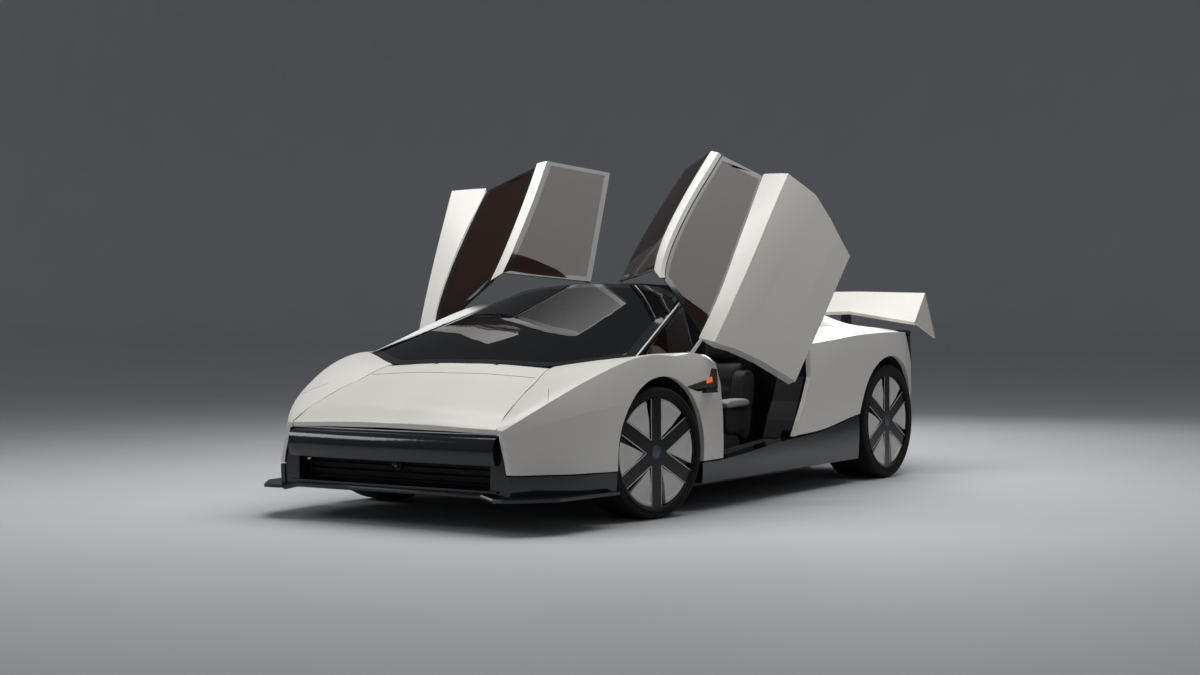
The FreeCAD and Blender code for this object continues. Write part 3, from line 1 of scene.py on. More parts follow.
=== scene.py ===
# %% [markdown]
# # A low sports car with its doors swung up
# The car comes from CAD as plain solids, one for each real piece. This lesson gives each piece the
# finish of the real one, and adds what is too fine for CAD: tread, seams, borders on the glass,
# grilles and lamps. Every length is in metres, with the nose towards -Y and the car's left at +X.

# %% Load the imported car
import math

import bmesh
import bpy
from mathutils import Matrix, Vector


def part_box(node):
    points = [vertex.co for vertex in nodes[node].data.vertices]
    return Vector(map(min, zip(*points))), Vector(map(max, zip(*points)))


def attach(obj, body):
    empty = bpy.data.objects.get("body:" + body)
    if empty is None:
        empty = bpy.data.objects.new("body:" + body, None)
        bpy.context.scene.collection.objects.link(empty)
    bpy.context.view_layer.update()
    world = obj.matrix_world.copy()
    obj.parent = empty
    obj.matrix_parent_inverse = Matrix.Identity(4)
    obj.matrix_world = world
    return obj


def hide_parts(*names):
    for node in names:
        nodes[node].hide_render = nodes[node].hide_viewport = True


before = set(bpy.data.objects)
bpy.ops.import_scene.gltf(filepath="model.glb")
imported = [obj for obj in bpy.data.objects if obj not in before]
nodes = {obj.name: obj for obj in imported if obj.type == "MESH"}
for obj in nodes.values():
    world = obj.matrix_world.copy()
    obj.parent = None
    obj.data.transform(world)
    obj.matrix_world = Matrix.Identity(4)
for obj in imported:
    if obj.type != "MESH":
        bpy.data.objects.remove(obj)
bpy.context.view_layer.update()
print(len(nodes), "CAD nodes")

# %% [markdown]
# ## Helpers for colours and materials
# Paint codes are easiest to compare as sRGB hex, but shaders mix light in linear values, so one
# function turns the first into the second. A second one adds a shader node with its settings and
# links, so that every material below reads as a list of what it is made of.

# %% Colour and node helpers
def linear(hex_code):
    """sRGB hex to the opaque linear colour that shaders use."""
    parts = [int(hex_code[i:i + 2], 16) / 255 for i in (1, 3, 5)]
    return tuple(c / 12.92 if c <= 0.04045 else ((c + 0.055) / 1.055) ** 2.4 for c in parts) + (1.0,)


def add(tree, kind, inputs=None, **settings):
    """Add a node; an input is a value, or another node's output to link."""
    node = tree.nodes.new(kind)
    for name, value in settings.items():
        setattr(node, name, value)
    for name, value in (inputs or {}).items():
        if isinstance(value, bpy.types.NodeSocket):
            tree.links.new(value, node.inputs[name])
        else:
            node.inputs[name].default_value = value
    return node


def start_material(name, **sockets):
    """A new material with one main shader whose sockets are set by their names."""
    material = bpy.data.materials.new(name)
    material.use_nodes = True
    tree = material.node_tree
    tree.nodes.clear()
    shader = add(tree, "ShaderNodeBsdfPrincipled", {key.replace("_", " "): value for key, value in sockets.items()})
    add(tree, "ShaderNodeOutputMaterial", {"Surface": shader.outputs[0]})
    return material, tree, shader


def place_in_metres(tree):
    """Object coordinates: they stay with the piece, and a CAD node's are in the car's own metres."""
    return add(tree, "ShaderNodeTexCoord").outputs["Object"]


def link_bump(tree, shader, height, depth, strength=1.0):
    """Small relief on the surface, with its real depth in metres."""
    bump = add(tree, "ShaderNodeBump", {"Height": height, "Distance": depth, "Strength": strength})
    tree.links.new(bump.outputs[0], shader.inputs["Normal"])


# %% [markdown]
# ## Satin pearl paint
# The body is warm white with a satin clear coat: light spreads softly over it, and creases read
# sharply. A sprayed coat levels into waves a few millimetres wide, and pearl pigment gives a faint
# change of brightness, so both are drawn, very weakly.

# %% Satin pearl white paint
WAVE = 0.006
PEARL_GRAIN = 0.0012


def satin_paint(name, hex_code, shade_hex, roughness=0.34):
    material, tree, shader = start_material(name, Roughness=roughness, Coat_Weight=0.35, Coat_Roughness=0.22,
                                            Specular_IOR_Level=0.5)
    where = place_in_metres(tree)
    grain = add(tree, "ShaderNodeTexNoise", {"Vector": where, "Scale": 1 / PEARL_GRAIN, "Detail": 2.0})
    broad = add(tree, "ShaderNodeTexNoise", {"Vector": where, "Scale": 1.3, "Detail": 1.0})
    blend = add(tree, "ShaderNodeMath", {0: grain.outputs[0], 1: broad.outputs[0]}, operation="MULTIPLY")
    mix = add(tree, "ShaderNodeMix", {0: blend.outputs[0], 6: linear(hex_code), 7: linear(shade_hex)}, data_type="RGBA")
    tree.links.new(mix.outputs[2], shader.inputs["Base Color"])
    waves = add(tree, "ShaderNodeTexNoise", {"Vector": where, "Scale": 1 / WAVE, "Detail": 0.0})
    link_bump(tree, shader, waves.outputs[0], 0.00002, 0.25)
    return material


pearl_white = satin_paint("satin_pearl_white_paint", "#E7E4DD", "#D9D5CC")
cover_white = satin_paint("satin_white_wheel_cover_paint", "#DAD8D3", "#C9C6BF", 0.42)

# %% [markdown]
# ## Gloss composite, deep navy
# The nose band, splitter, sills and tail are moulded carbon composite under thick clear coat: nearly
# black, with a blue cast, and mirror smooth apart from a soft wave.

# %% Gloss and matte black plastics
def gloss_black(name, hex_code, roughness=0.14, wave=0.012, coat=0.8):
    material, tree, shader = start_material(name, Base_Color=linear(hex_code), Roughness=roughness, Coat_Weight=coat,
                                            Coat_Roughness=0.06, Specular_IOR_Level=0.4)
    waves = add(tree, "ShaderNodeTexNoise", {"Vector": place_in_metres(tree), "Scale": 1 / wave, "Detail": 1.0})
    link_bump(tree, shader, waves.outputs[0], 0.00004, 0.3)
    return material


def moulded_black(name, hex_code, roughness=0.62, grain=0.0011, depth=0.00012):
    """Moulded plastic with the fine leather-like grain that its tool leaves."""
    material, tree, shader = start_material(name, Base_Color=linear(hex_code), Specular_IOR_Level=0.4)
    where = place_in_metres(tree)
    cells = add(tree, "ShaderNodeTexVoronoi", {"Vector": where, "Scale": 1 / grain}, feature="SMOOTH_F1")
    link_bump(tree, shader, cells.outputs["Distance"], depth, 0.6)
    worn = add(tree, "ShaderNodeTexNoise", {"Vector": where, "Scale": 9.0, "Detail": 3.0})
    spread = add(tree, "ShaderNodeMapRange",
                 {"Value": worn.outputs[0], "To Min": roughness - 0.08, "To Max": roughness + 0.08})
    tree.links.new(spread.outputs[0], shader.inputs["Roughness"])
    return material


navy_composite = gloss_black("gloss_navy_composite", "#0C121C", 0.16, 0.012, 0.5)
piano_black = gloss_black("gloss_black_enamel", "#0A0B0D", 0.10)
wheel_black = gloss_black("gloss_black_wheel_paint", "#050506", 0.22, 0.02, 0.15)
grained_black = moulded_black("grained_black_plastic", "#17181A")
liner_felt = moulded_black("pressed_fibre_liner", "#0E0E0F", 0.9, 0.003, 0.0008)
cabin_composite = moulded_black("satin_cabin_composite", "#131417", 0.5, 0.002, 0.00006)
intake_black = moulded_black("matt_black_intake_plastic", "#08090A", 0.7, 0.0015, 0.00006)
satin_dark = moulded_black("satin_dark_trim", "#1E1F22", 0.38, 0.004, 0.00003)

# %% [markdown]
# ## Tinted glass
# The windscreen is so dark that it reads as gloss black, and the side, quarter and roof glass has a
# bronze tint. Glass is modelled as a real sheet, so the light passes both faces and the tint is the
# shader's own colour.

# %% Tinted glasses and lamps
def tinted_glass(name, hex_code, transmission, mirror):
    return start_material(name, Base_Color=linear(hex_code), Roughness=0.0, IOR=1.5,
                          Transmission_Weight=transmission, Specular_IOR_Level=mirror)[0]


screen_glass = tinted_glass("dark_windscreen_glass", "#07080A", 0.45, 0.35)
bronze_glass = tinted_glass("bronze_tinted_glass", "#44291F", 0.80, 0.16)
red_lens = start_material("red_lamp_lens", Base_Color=linear("#5A0A0C"), Roughness=0.12, Transmission_Weight=0.25,
                          Coat_Weight=0.6, Coat_Roughness=0.03)[0]
amber_lens = start_material("amber_marker_lens", Base_Color=linear("#D9640E"), Roughness=0.2,
                            Emission_Color=linear("#FF7A1E"), Emission_Strength=0.5)[0]

# %% [markdown]
# ## Running gear
# Suspension arms are forged steel under black primer, the knuckles and brake discs are machined and
# the engine block is cast aluminium. Casting leaves a skin of small pits, machining leaves fine rings.

# %% Metals and rubber
def cast_metal(name, hex_code, roughness, grain, depth, metallic=1.0):
    material, tree, shader = start_material(name, Base_Color=linear(hex_code), Metallic=metallic)
    where = place_in_metres(tree)
    pits = add(tree, "ShaderNodeTexNoise", {"Vector": where, "Scale": 1 / grain, "Detail": 4.0})
    link_bump(tree, shader, pits.outputs[0], depth, 0.7)
    spread = add(tree, "ShaderNodeMapRange",
                 {"Value": pits.outputs[0], "To Min": roughness - 0.1, "To Max": roughness + 0.1})
    tree.links.new(spread.outputs[0], shader.inputs["Roughness"])
    return material


forged_steel = cast_metal("black_primed_forged_steel", "#3A3B3E", 0.5, 0.004, 0.0003, 0.6)
cast_block = cast_metal("cast_aluminium_block", "#8E9093", 0.55, 0.003, 0.0006)
bright_edge = start_material("diamond_cut_aluminium", Base_Color=linear("#D8D9DA"), Metallic=0.55, Roughness=0.36)[0]


def tyre_rubber():
    material, tree, shader = start_material("tyre_rubber", Base_Color=linear("#151515"), Specular_IOR_Level=0.35)
    where = place_in_metres(tree)
    dust = add(tree, "ShaderNodeTexNoise", {"Vector": where, "Scale": 60.0, "Detail": 5.0})
    spread = add(tree, "ShaderNodeMapRange", {"Value": dust.outputs[0], "To Min": 0.72, "To Max": 0.92})
    tree.links.new(spread.outputs[0], shader.inputs["Roughness"])
    link_bump(tree, shader, dust.outputs[0], 0.0003, 0.4)
    return material


rubber = tyre_rubber()

# %% [markdown]
# ## Windscreen pillars
# The pillars, the header and the roof's spine are one welded frame. Outside, the pillars are capped
# with brushed, clear-anodised aluminium; all the rest of the frame is satin black. The cap is drawn
# where the frame faces up and lies outboard, so the inside of the pillar stays dark.

# %% Two-tone roof frame
CAP_FROM = 0.596
CAP_TILT = 0.12


def two_tone_frame():
    material, tree, shader = start_material("anodised_pillar_caps_on_satin_black", Coat_Weight=0.2, Coat_Roughness=0.2)
    texture = add(tree, "ShaderNodeTexCoord")
    place = add(tree, "ShaderNodeSeparateXYZ", {0: texture.outputs["Object"]})
    facing = add(tree, "ShaderNodeSeparateXYZ", {0: texture.outputs["Normal"]})
    outboard = add(tree, "ShaderNodeMath", {0: place.outputs["X"]}, operation="ABSOLUTE")
    is_outboard = add(tree, "ShaderNodeMath", {0: outboard.outputs[0], 1: CAP_FROM}, operation="GREATER_THAN")
    is_up = add(tree, "ShaderNodeMath", {0: facing.outputs["Z"], 1: CAP_TILT}, operation="GREATER_THAN")
    cap = add(tree, "ShaderNodeMath", {0: is_outboard.outputs[0], 1: is_up.outputs[0]}, operation="MULTIPLY")
    mix = add(tree, "ShaderNodeMix", {0: cap.outputs[0], 6: linear("#0F1012"), 7: linear("#D5D5D3")}, data_type="RGBA")
    tree.links.new(mix.outputs[2], shader.inputs["Base Color"])
    brush = add(tree, "ShaderNodeMapping", {"Vector": texture.outputs["Object"], "Scale": (900.0, 30.0, 900.0)})
    lines = add(tree, "ShaderNodeTexNoise", {"Vector": brush.outputs[0], "Scale": 1.0, "Detail": 2.0})
    spread = add(tree, "ShaderNodeMapRange", {"Value": lines.outputs[0], "To Min": 0.30, "To Max": 0.44})
    tree.links.new(spread.outputs[0], shader.inputs["Roughness"])
    return material


pillar_finish = two_tone_frame()

# %% [markdown]
# ## Give each CAD node its finish
# A CAD node whose shape is right stays and only gets a better material. Flat faces with sharp creases
# between them suit this body, so shading is smooth only across shallow edges.

# %% Finish the CAD nodes
finishes = {
    pearl_white: ("fenders", "hood", "door_shell_left", "door_shell_right", "rear_quarters", "engine_cover",
                  "door_frame_left", "door_frame_right", "wing"),
    pillar_finish: ("roof_frame",),
    intake_black: ("intake_grille",),
    navy_composite: ("front_bumper", "splitter", "sills", "rear_fascia", "wing_pylons", "diffuser", "side_cameras"),
    cabin_composite: ("cabin_tub", "front_tub", "rear_frame"),
    liner_felt: ("wheel_liners",),
    grained_black: ("dashboard", "steering_wheel", "seats"),
    screen_glass: ("windscreen",),
    bronze_glass: ("quarter_glass", "door_glass_left", "door_glass_right"),
    red_lens: ("tail_lamp",),
    forged_steel: ("suspension", "knuckle_left", "knuckle_right"),
    cast_block: ("power_unit",),
    rubber: tuple(f"tyre_{end}_{side}" for end in ("front", "rear") for side in ("left", "right")),
    wheel_black: tuple(f"rim_{end}_{side}" for end in ("front", "rear") for side in ("left", "right")),
    cover_white: tuple(f"wheel_cover_{end}_{side}" for end in ("front", "rear") for side in ("left", "right")),
}


def shade(piece, material, smooth_angle=28.0):
    """Set a piece's only material, and smooth the shading across edges below the angle."""
    piece.data.materials.clear()
    piece.data.materials.append(material)
    piece.data.shade_smooth()
    piece.data.set_sharp_from_angle(angle=math.radians(smooth_angle))


for material, names in finishes.items():
    for name in names:
        shade(nodes[name], material)

# %% [markdown]
# ## Building pieces beside the CAD
# Each added piece is a mesh made from points in the car's own metres, and rides on the body that
# carries it. Wheels and doors are parked turned, so a small function places a point of the straight
# wheel or the closed door where it is parked.

# %% Helpers for new pieces
HALF_WIDTH, NOSE_REACH, TAIL_REACH, ROOF_HEIGHT, FRAME_SHIFT = 1.000, 2.360, 2.190, 1.225, 0.085


def spot(x_share, y_share, z_share):
    """A place on the body, from the same shares as the CAD model's."""
    reach = NOSE_REACH if y_share < 0 else TAIL_REACH
    return Vector((x_share * HALF_WIDTH, y_share * reach + FRAME_SHIFT, z_share * ROOF_HEIGHT))


def build(name, vertices, faces, body, slot, materials, smooth_angle=28.0, indices=None):
    """A mesh piece that rides on a body; indices pick each face's material."""
    mesh = bpy.data.meshes.new(name)
    mesh.from_pydata([tuple(v) for v in vertices], [], faces)
    work = bmesh.new()
    work.from_mesh(mesh)
    bmesh.ops.recalc_face_normals(work, faces=work.faces)
    work.to_mesh(mesh)
    work.free()
    for material in materials:
        mesh.materials.append(material)
    if indices:
        mesh.polygons.foreach_set("material_index", indices)
    mesh.shade_smooth()
    mesh.set_sharp_from_angle(angle=math.radians(smooth_angle))
    piece = bpy.data.objects.new(name, mesh)
    bpy.context.scene.collection.objects.link(piece)
    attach(piece, body)
    return piece


def merged(parts):
    """Vertices and faces of several parts as one list each."""
    vertices, faces = [], []
    for part_vertices, part_faces in parts:
        start = len(vertices)
        vertices += part_vertices
        faces += [tuple(start + i for i in face) for face in part_faces]
    return vertices, faces


def tube_grid(rings, closed_ring=True, closed_ends=True):
    """Vertices and faces of a skin through rings with the same number of points."""
    count = len(rings[0])
    vertices = [Vector(p) for ring in rings for p in ring]
    faces = []
    for i in range(len(rings) - 1):
        for j in range(count if closed_ring else count - 1):
            k = (j + 1) % count
            faces.append((i * count + j, i * count + k, (i + 1) * count + k, (i + 1) * count + j))
    if closed_ends:
        faces += [tuple(range(count))[::-1], tuple((len(rings) - 1) * count + j for j in range(count))]
    return vertices, faces


def spun(profile, place, segments):
    """A ring turned from (outward, radius) points, closed all round."""
    count = len(profile)
    vertices = []
    for i in range(segments):
        turn = 2 * math.pi * i / segments
        vertices += [place(x, r * math.sin(turn), r * math.cos(turn)) for x, r in profile]
    faces = []
    for i in range(segments):
        for j in range(count):
            k, n = (j + 1) % count, (i + 1) % segments
            faces.append((i * count + j, i * count + k, n * count + k, n * count + j))
    return vertices, faces


# %% Where the wheels stand
AXLE_Y = {"front": -0.5585 * NOSE_REACH + FRAME_SHIFT, "rear": 0.6164 * TAIL_REACH + FRAME_SHIFT}
TYRE_RADIUS = {"front": 0.340, "rear": 0.360}
TYRE_WIDTH = {"front": 0.255, "rear": 0.305}
WHEEL_FACE = {"front": 0.985, "rear": 0.996}
RIM_RADIUS = {"front": 0.288, "rear": 0.292}
KINGPIN_X = 0.8075
PARKED_STEER = math.radians(-10.3)
ENDS_AND_SIDES = [(end, side) for end in ("front", "rear") for side in ("left", "right")]


def wheel_place(end, side):
    """A function from (outward, along, up) on the straight wheel to the parked wheel's place."""
    sign = 1 if side == "left" else -1
    pivot = Vector((sign * KINGPIN_X, AXLE_Y[end], 0.0))
    turn = Matrix.Rotation(PARKED_STEER if end == "front" else 0.0, 3, "Z")

    def place(outward, along, high):
        return pivot + turn @ (Vector((sign * outward, AXLE_Y[end] + along, TYRE_RADIUS[end] + high)) - pivot)
    return place


print("wheel centres", [tuple(round(c, 3) for c in wheel_place(e, s)(WHEEL_FACE[e], 0, 0)) for e, s in ENDS_AND_SIDES])

# %% [markdown]
# ## Tyres
# A low-profile road tyre is moulded: the tread has four grooves all round and short cuts across its
# ribs, and the sidewall swells a little beside the rim, with fine raised rings and a rim protector.
# It is turned from its profile, and the cuts are pressed into it by lowering single slices of a block.

# %% Tyres with tread
TREAD_SLICES = 198
GROOVE_DEPTH = 0.0065
GROOVE_SHARES = (0.16, 0.38, 0.62, 0.84)
GROOVE_WIDTH = 0.008
SHOULDER_CUT, RIB_CUT, CUT_LEAN = 0.0045, 0.0022, 0.010


def tyre_profile(end):
    """(outward, radius, kind) all round the tyre; kind 1 is a shoulder block and 2 a middle rib."""
    face, width, radius = WHEEL_FACE[end], TYRE_WIDTH[end], TYRE_RADIUS[end]
    bead = RIM_RADIUS[end] + 0.0003
    inner = face - width
    side = [(0.010, bead, 0), (0.001, bead + 0.004, 0), (-0.002, bead + 0.011, 0), (0.003, bead + 0.015, 0),
            (0.0005, bead + 0.024, 0), (0.001, radius - 0.020, 0), (0.005, radius - 0.0105, 0),
            (0.012, radius - 0.0055, 1)]
    points = [(inner + x, r, kind) for x, r, kind in side]
    tread_start, tread_width = inner + 0.020, width - 0.040

    def crown(share):
        return radius - 0.0035 * (2 * share - 1) ** 2 - 0.0003

    edges = []
    for share in GROOVE_SHARES:
        half = GROOVE_WIDTH / 2 / tread_width
        edges += [(share - half, 0.0), (share - half * 0.7, GROOVE_DEPTH),
                  (share + half * 0.7, GROOVE_DEPTH), (share + half, 0.0)]
    marks = [(0.0, 0.0)] + edges + [(1.0, 0.0)]
    for share, drop in marks:
        kind = 0 if drop else (1 if share < 0.15 or share > 0.85 else 2)
        points.append((tread_start + share * tread_width, crown(share) - drop, kind))
    points += [(face - x, r, kind) for x, r, kind in side[::-1]]
    return points


def make_tyre(end, side):
    profile = tyre_profile(end)
    place = wheel_place(end, side)
    count = len(profile)
    vertices, lengths = [], [0.0]
    for (x0, r0, _), (x1, r1, _) in zip(profile, profile[1:]):
        lengths.append(lengths[-1] + math.hypot(x1 - x0, r1 - r0))
    for i in range(TREAD_SLICES):
        turn = 2 * math.pi * i / TREAD_SLICES
        for j, (x, r, kind) in enumerate(profile):
            cut = 0.0
            if kind == 1 and i % 3 == 0:
                cut = SHOULDER_CUT
            if kind == 2 and (i + j) % 6 == 0:
                cut = RIB_CUT
            lean = 0.0 if kind == 0 else CUT_LEAN * (x - WHEEL_FACE[end] + TYRE_WIDTH[end] / 2) / TYRE_WIDTH[end]
            vertices.append(place(x, (r - cut) * math.sin(turn + lean), (r - cut) * math.cos(turn + lean)))
    faces = []
    for i in range(TREAD_SLICES):
        n = (i + 1) % TREAD_SLICES
        for j in range(count):
            k = (j + 1) % count
            faces.append((i * count + j, i * count + k, n * count + k, n * count + j))
    tyre = build(f"tyre_detail_{end}_{side}", vertices, faces, f"wheel_{end}_{side}", "tyre_black", [rubber], 35)
    layer = tyre.data.uv_layers.new(name="round_and_across")
    for polygon in tyre.data.polygons:
        for loop_index in polygon.loop_indices:
            v = tyre.data.loops[loop_index].vertex_index
            i, j = divmod(v, count)
            layer.data[loop_index].uv = (2 * math.pi * TYRE_RADIUS[end] * i / TREAD_SLICES, lengths[j])
    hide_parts(f"tyre_{end}_{side}")
    return tyre


tyres = [make_tyre(end, side) for end, side in ENDS_AND_SIDES]
print("tyre triangles", sum(2 * len(tyre.data.polygons) for tyre in tyres))

# %% [markdown]
# ## Wheel trim
# On the real wheel a thin bright edge is cut along both sides of each gloss black spoke, so that two
# neighbours meet in a V at the hub. The white sectors end in a raised lip, and a plain round cap closes
# the hub.

# %% Spoke edges, lips and caps
SPOKES = 6
SPOKE_HALF = 0.039
SPOKE_SINK = 0.014
EDGE_HALF = 0.0021
COVER_SINK = 0.018
LIP_STEPS = 14
COVER_CUTBACK = math.radians(9.0)


def spun_about(place, turn):
    """The same placing function for a wheel turned by an angle about its own axle."""
    cosine, sine = math.cos(turn), math.sin(turn)
    return lambda x, v, w: place(x, v * cosine + w * sine, w * cosine - v * sine)


def edge_bars(end, side):
    """Chamfered strips along both sides of each spoke, from the V at the hub to the rim."""
    face = WHEEL_FACE[end] - SPOKE_SINK
    start = SPOKE_HALF / math.tan(math.pi / SPOKES)
    stop = RIM_RADIUS[end] - 0.010
    section = ((-EDGE_HALF, -0.002), (-EDGE_HALF, 0.0008), (-EDGE_HALF * 0.5, 0.0016), (EDGE_HALF * 0.5, 0.0016),
               (EDGE_HALF, 0.0008), (EDGE_HALF, -0.002))
    parts = []
    for i in range(SPOKES):
        place = spun_about(wheel_place(end, side), 2 * math.pi * i / SPOKES)
        for flank in (-1, 1):
            middle = flank * (SPOKE_HALF - EDGE_HALF)
            rings = [[place(face + lift, middle + across, along) for across, lift in section]
                     for along in (start, (start + stop) / 2, stop)]
            parts.append(tube_grid(rings))
    return merged(parts)


def sector_edges(end, radius):
    """Angles from a spoke's middle where a white sector begins and ends at a radius."""
    edge = SPOKE_HALF + 0.003
    turn = 2 * math.pi / SPOKES
    corner = Vector((edge, edge * (1 + math.cos(turn)) / math.sin(turn)))
    far = Vector((math.sin(turn - COVER_CUTBACK), math.cos(turn - COVER_CUTBACK)))
    along = corner.dot(far)
    reach = -along + math.sqrt(max(along * along - corner.length_squared + radius * radius, 0.0))
    end_point = corner + far * reach
    return math.asin(edge / radius), math.atan2(end_point.x, end_point.y)


def cover_lips(end, side):
    """A raised lip along the outer edge of each white sector."""
    face = WHEEL_FACE[end] - COVER_SINK
    outer, inner = RIM_RADIUS[end] - 0.0125, RIM_RADIUS[end] - 0.036
    profile = ((inner, -0.001), (inner + 0.002, 0.0040), (inner + 0.006, 0.0052),
               (outer - 0.006, 0.0034), (outer - 0.001, 0.0018), (outer, -0.001))
    parts = []
    for i in range(SPOKES):
        place = spun_about(wheel_place(end, side), 2 * math.pi * i / SPOKES)
        first, last = sector_edges(end, (outer + inner) / 2)
        rings = []
        for k in range(LIP_STEPS + 1):
            turn = first + 0.006 + (last - first - 0.012) * k / LIP_STEPS
            rings.append([place(face + lift, r * math.sin(turn), r * math.cos(turn)) for r, lift in profile])
        parts.append(tube_grid(rings))
    return merged(parts)


CAP_PROFILE = ((0.000, 0.0045), (0.012, 0.0042), (0.022, 0.0034), (0.0275, 0.0020), (0.0290, 0.0002),
               (0.0305, 0.0004), (0.0310, 0.0030), (0.0340, 0.0034), (0.0362, 0.0020), (0.0370, -0.0010),
               (0.0370, -0.0030), (0.0005, -0.0030))


def make_wheel_trim(end, side):
    wheel = f"wheel_{end}_{side}"
    build(f"spoke_edges_{end}_{side}", *edge_bars(end, side), wheel, "rim_black", [bright_edge])
    build(f"cover_lips_{end}_{side}", *cover_lips(end, side), wheel, "cover_white", [lip_white], 40)
    face = WHEEL_FACE[end] - SPOKE_SINK
    place = wheel_place(end, side)
    cap = spun([(face + lift, max(r, 0.0002)) for r, lift in CAP_PROFILE], place, 48)
    build(f"centre_cap_{end}_{side}", *cap, wheel, "rim_black", [cap_grey], 40)


lip_white = satin_paint("satin_white_lip_paint", "#E4E2DC", "#D3D0CA", 0.36)
cap_grey = cast_metal("satin_grey_cap", "#5C6470", 0.38, 0.002, 0.00003, 0.7)
for end, side in ENDS_AND_SIDES:
    make_wheel_trim(end, side)

# %% [markdown]
# ## Glass with black borders
# Bonded car glass has a fired black enamel border that hides the glue. The border is drawn into the
# sheet itself: each of its two large faces is inset by the border's width, and the ring that this
# leaves takes the enamel. The sheet keeps the shape that it has in CAD.

# %% Bordered glass
def face_regions(work, sharp_angle):
    """Groups of faces that meet without a sharp edge, the largest area first."""
    left, regions = set(work.faces), []
    while left:
        heap, region = [left.pop()], []
        while heap:
            face = heap.pop()
            region.append(face)
            for edge in face.edges:
                if len(edge.link_faces) == 2 and edge.calc_face_angle() < sharp_angle:
                    for other in edge.link_faces:
                        if other in left:
                            left.remove(other)
                            heap.append(other)
        regions.append(region)
    return sorted(regions, key=lambda region: -sum(face.calc_area() for face in region))


def bordered_glass(name, node, body, slot, glass, sheets, border):
    """The sheets of a CAD glass with an enamel ring round both faces of each."""
    work = bmesh.new()
    work.from_mesh(nodes[node].data)
    bmesh.ops.remove_doubles(work, verts=work.verts, dist=1e-6)
    bmesh.ops.dissolve_limit(work, angle_limit=math.radians(0.4), verts=work.verts, edges=work.edges)
    ring = []
    for region in face_regions(work, math.radians(30))[:2 * sheets]:
        ring += bmesh.ops.inset_region(work, faces=region, thickness=border, use_even_offset=True)["faces"]
    ring = set(ring)
    indices = [1 if face in ring else 0 for face in work.faces]
    vertices = [v.co.copy() for v in work.verts]
    work.verts.index_update()
    faces = [tuple(v.index for v in face.verts) for face in work.faces]
    work.free()
    piece = build(name, vertices, faces, body, slot, [glass, piano_black], 25, indices)
    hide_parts(node)
    print(name, len(faces), "faces,", sum(indices), "in the border")


bordered_glass("windscreen_bordered", "windscreen", "chassis", "screen_glass", screen_glass, 1, 0.055)
bordered_glass("quarter_glass_bordered", "quarter_glass", "chassis", "bronze_glass", bronze_glass, 2, 0.014)
for side in ("left", "right"):
    bordered_glass(f"door_glass_bordered_{side}", f"door_glass_{side}", f"door_{side}", "bronze_glass",
                   bronze_glass, 2, 0.030)

# %% [markdown]
# ## Panels and seams that lie on the bodywork
# The dark gloss panel behind the front wheel and the thin seams over the wings follow the paint. Rays
# are cast from outside onto the CAD body, and each piece is built where they land, a millimetre proud.

# %% Lay pieces on the bodywork
from mathutils.bvhtree import BVHTree


def body_tree(names):
    """One search tree over the shown faces of some CAD nodes."""
    vertices, faces = merged([([v.co.copy() for v in nodes[n].data.vertices],
                               [tuple(p.vertices) for p in nodes[n].data.polygons]) for n in names])
    return BVHTree.FromPolygons(vertices, faces)


def chain_height(chain, at):
    """The second coordinate of a chain of points at a first coordinate."""
    for (a0, b0), (a1, b1) in zip(chain, chain[1:]):
        if min(a0, a1) <= at <= max(a0, a1):
            return b0 + (b1 - b0) * (at - a0) / (a1 - a0)
    return chain[-1][1]


def laid_patch(tree, origin, axis, low_chain, high_chain, columns, rows, lift, depth):
    """A closed thin patch between two chains; origin(a, b) starts the ray along axis."""
    first, last = low_chain[0][0], low_chain[-1][0]
    outer, inner = [], []
    for i in range(columns + 1):
        at = first + (last - first) * i / columns
        low, high = chain_height(low_chain, at), chain_height(high_chain, at)
        line_out, line_in = [], []
        for j in range(rows + 1):
            hit = tree.ray_cast(origin(at, low + (high - low) * j / rows), axis)[0]
            line_out.append(hit - axis * lift)
            line_in.append(hit + axis * depth)
        outer.append(line_out)
        inner.append(line_in)
    return tube_grid([line_out + line_in[::-1] for line_out, line_in in zip(outer, inner)])


def laid_line(tree, points, axis, width, lift, depth, across):
    """A thin strip that follows the body under a line of points."""
    rings = []
    for start, end in zip(points, points[1:]):
        steps = max(2, int((Vector(end) - Vector(start)).length / 0.02))
        rings += [Vector(start).lerp(Vector(end), k / steps) for k in range(steps + (end == points[-1]))]
    result = []
    for point in rings:
        ring = []
        for shift in (-width / 2, width / 2):
            ring.append(tree.ray_cast(point + Vector(across) * shift - axis * 0.5, axis)[0])
        if None in ring:
            continue
        result.append([ring[0] - axis * lift, ring[1] - axis * lift, ring[1] + axis * depth, ring[0] + axis * depth])
    return tube_grid(result)


fender_tree = body_tree(["fenders"])
hood_tree = body_tree(["hood"])
SIDE_LOW = ((-1.002, 0.664), (-0.896, 0.638), (-0.697, 0.6455))
SIDE_HIGH = ((-1.002, 0.667), (-0.7765, 0.699), (-0.741, 0.756), (-0.697, 0.7497))


def side_panel(side):
    sign = 1 if side == "left" else -1
    inward = Vector((-sign, 0, 0))

    def from_outside(a, b):
        return Vector((sign * 1.4, a, b))

    patch = laid_patch(fender_tree, from_outside, inward, SIDE_LOW, SIDE_HIGH, 30, 5, 0.0012, 0.004)
    build(f"side_panel_{side}", *patch, "chassis", "gloss_navy", [piano_black], 20)
    low = ((-0.806, 0.676), (-0.752, 0.684))
    high = ((-0.806, 0.693), (-0.752, 0.712))
    lens = laid_patch(fender_tree, from_outside, inward, low, high, 6, 3, 0.006, 0.002)
    build(f"side_marker_{side}", *lens, "chassis", "lamp_red", [amber_lens], 20)


ALONG_CAR = (0, 1, 0)


def seam(name, tree, points, across, body):
    line = laid_line(tree, points, Vector((0, 0, -1)), 0.0032, 0.0004, 0.002, across)
    build(name, *line, body, "liner_black", [seam_black], 30)


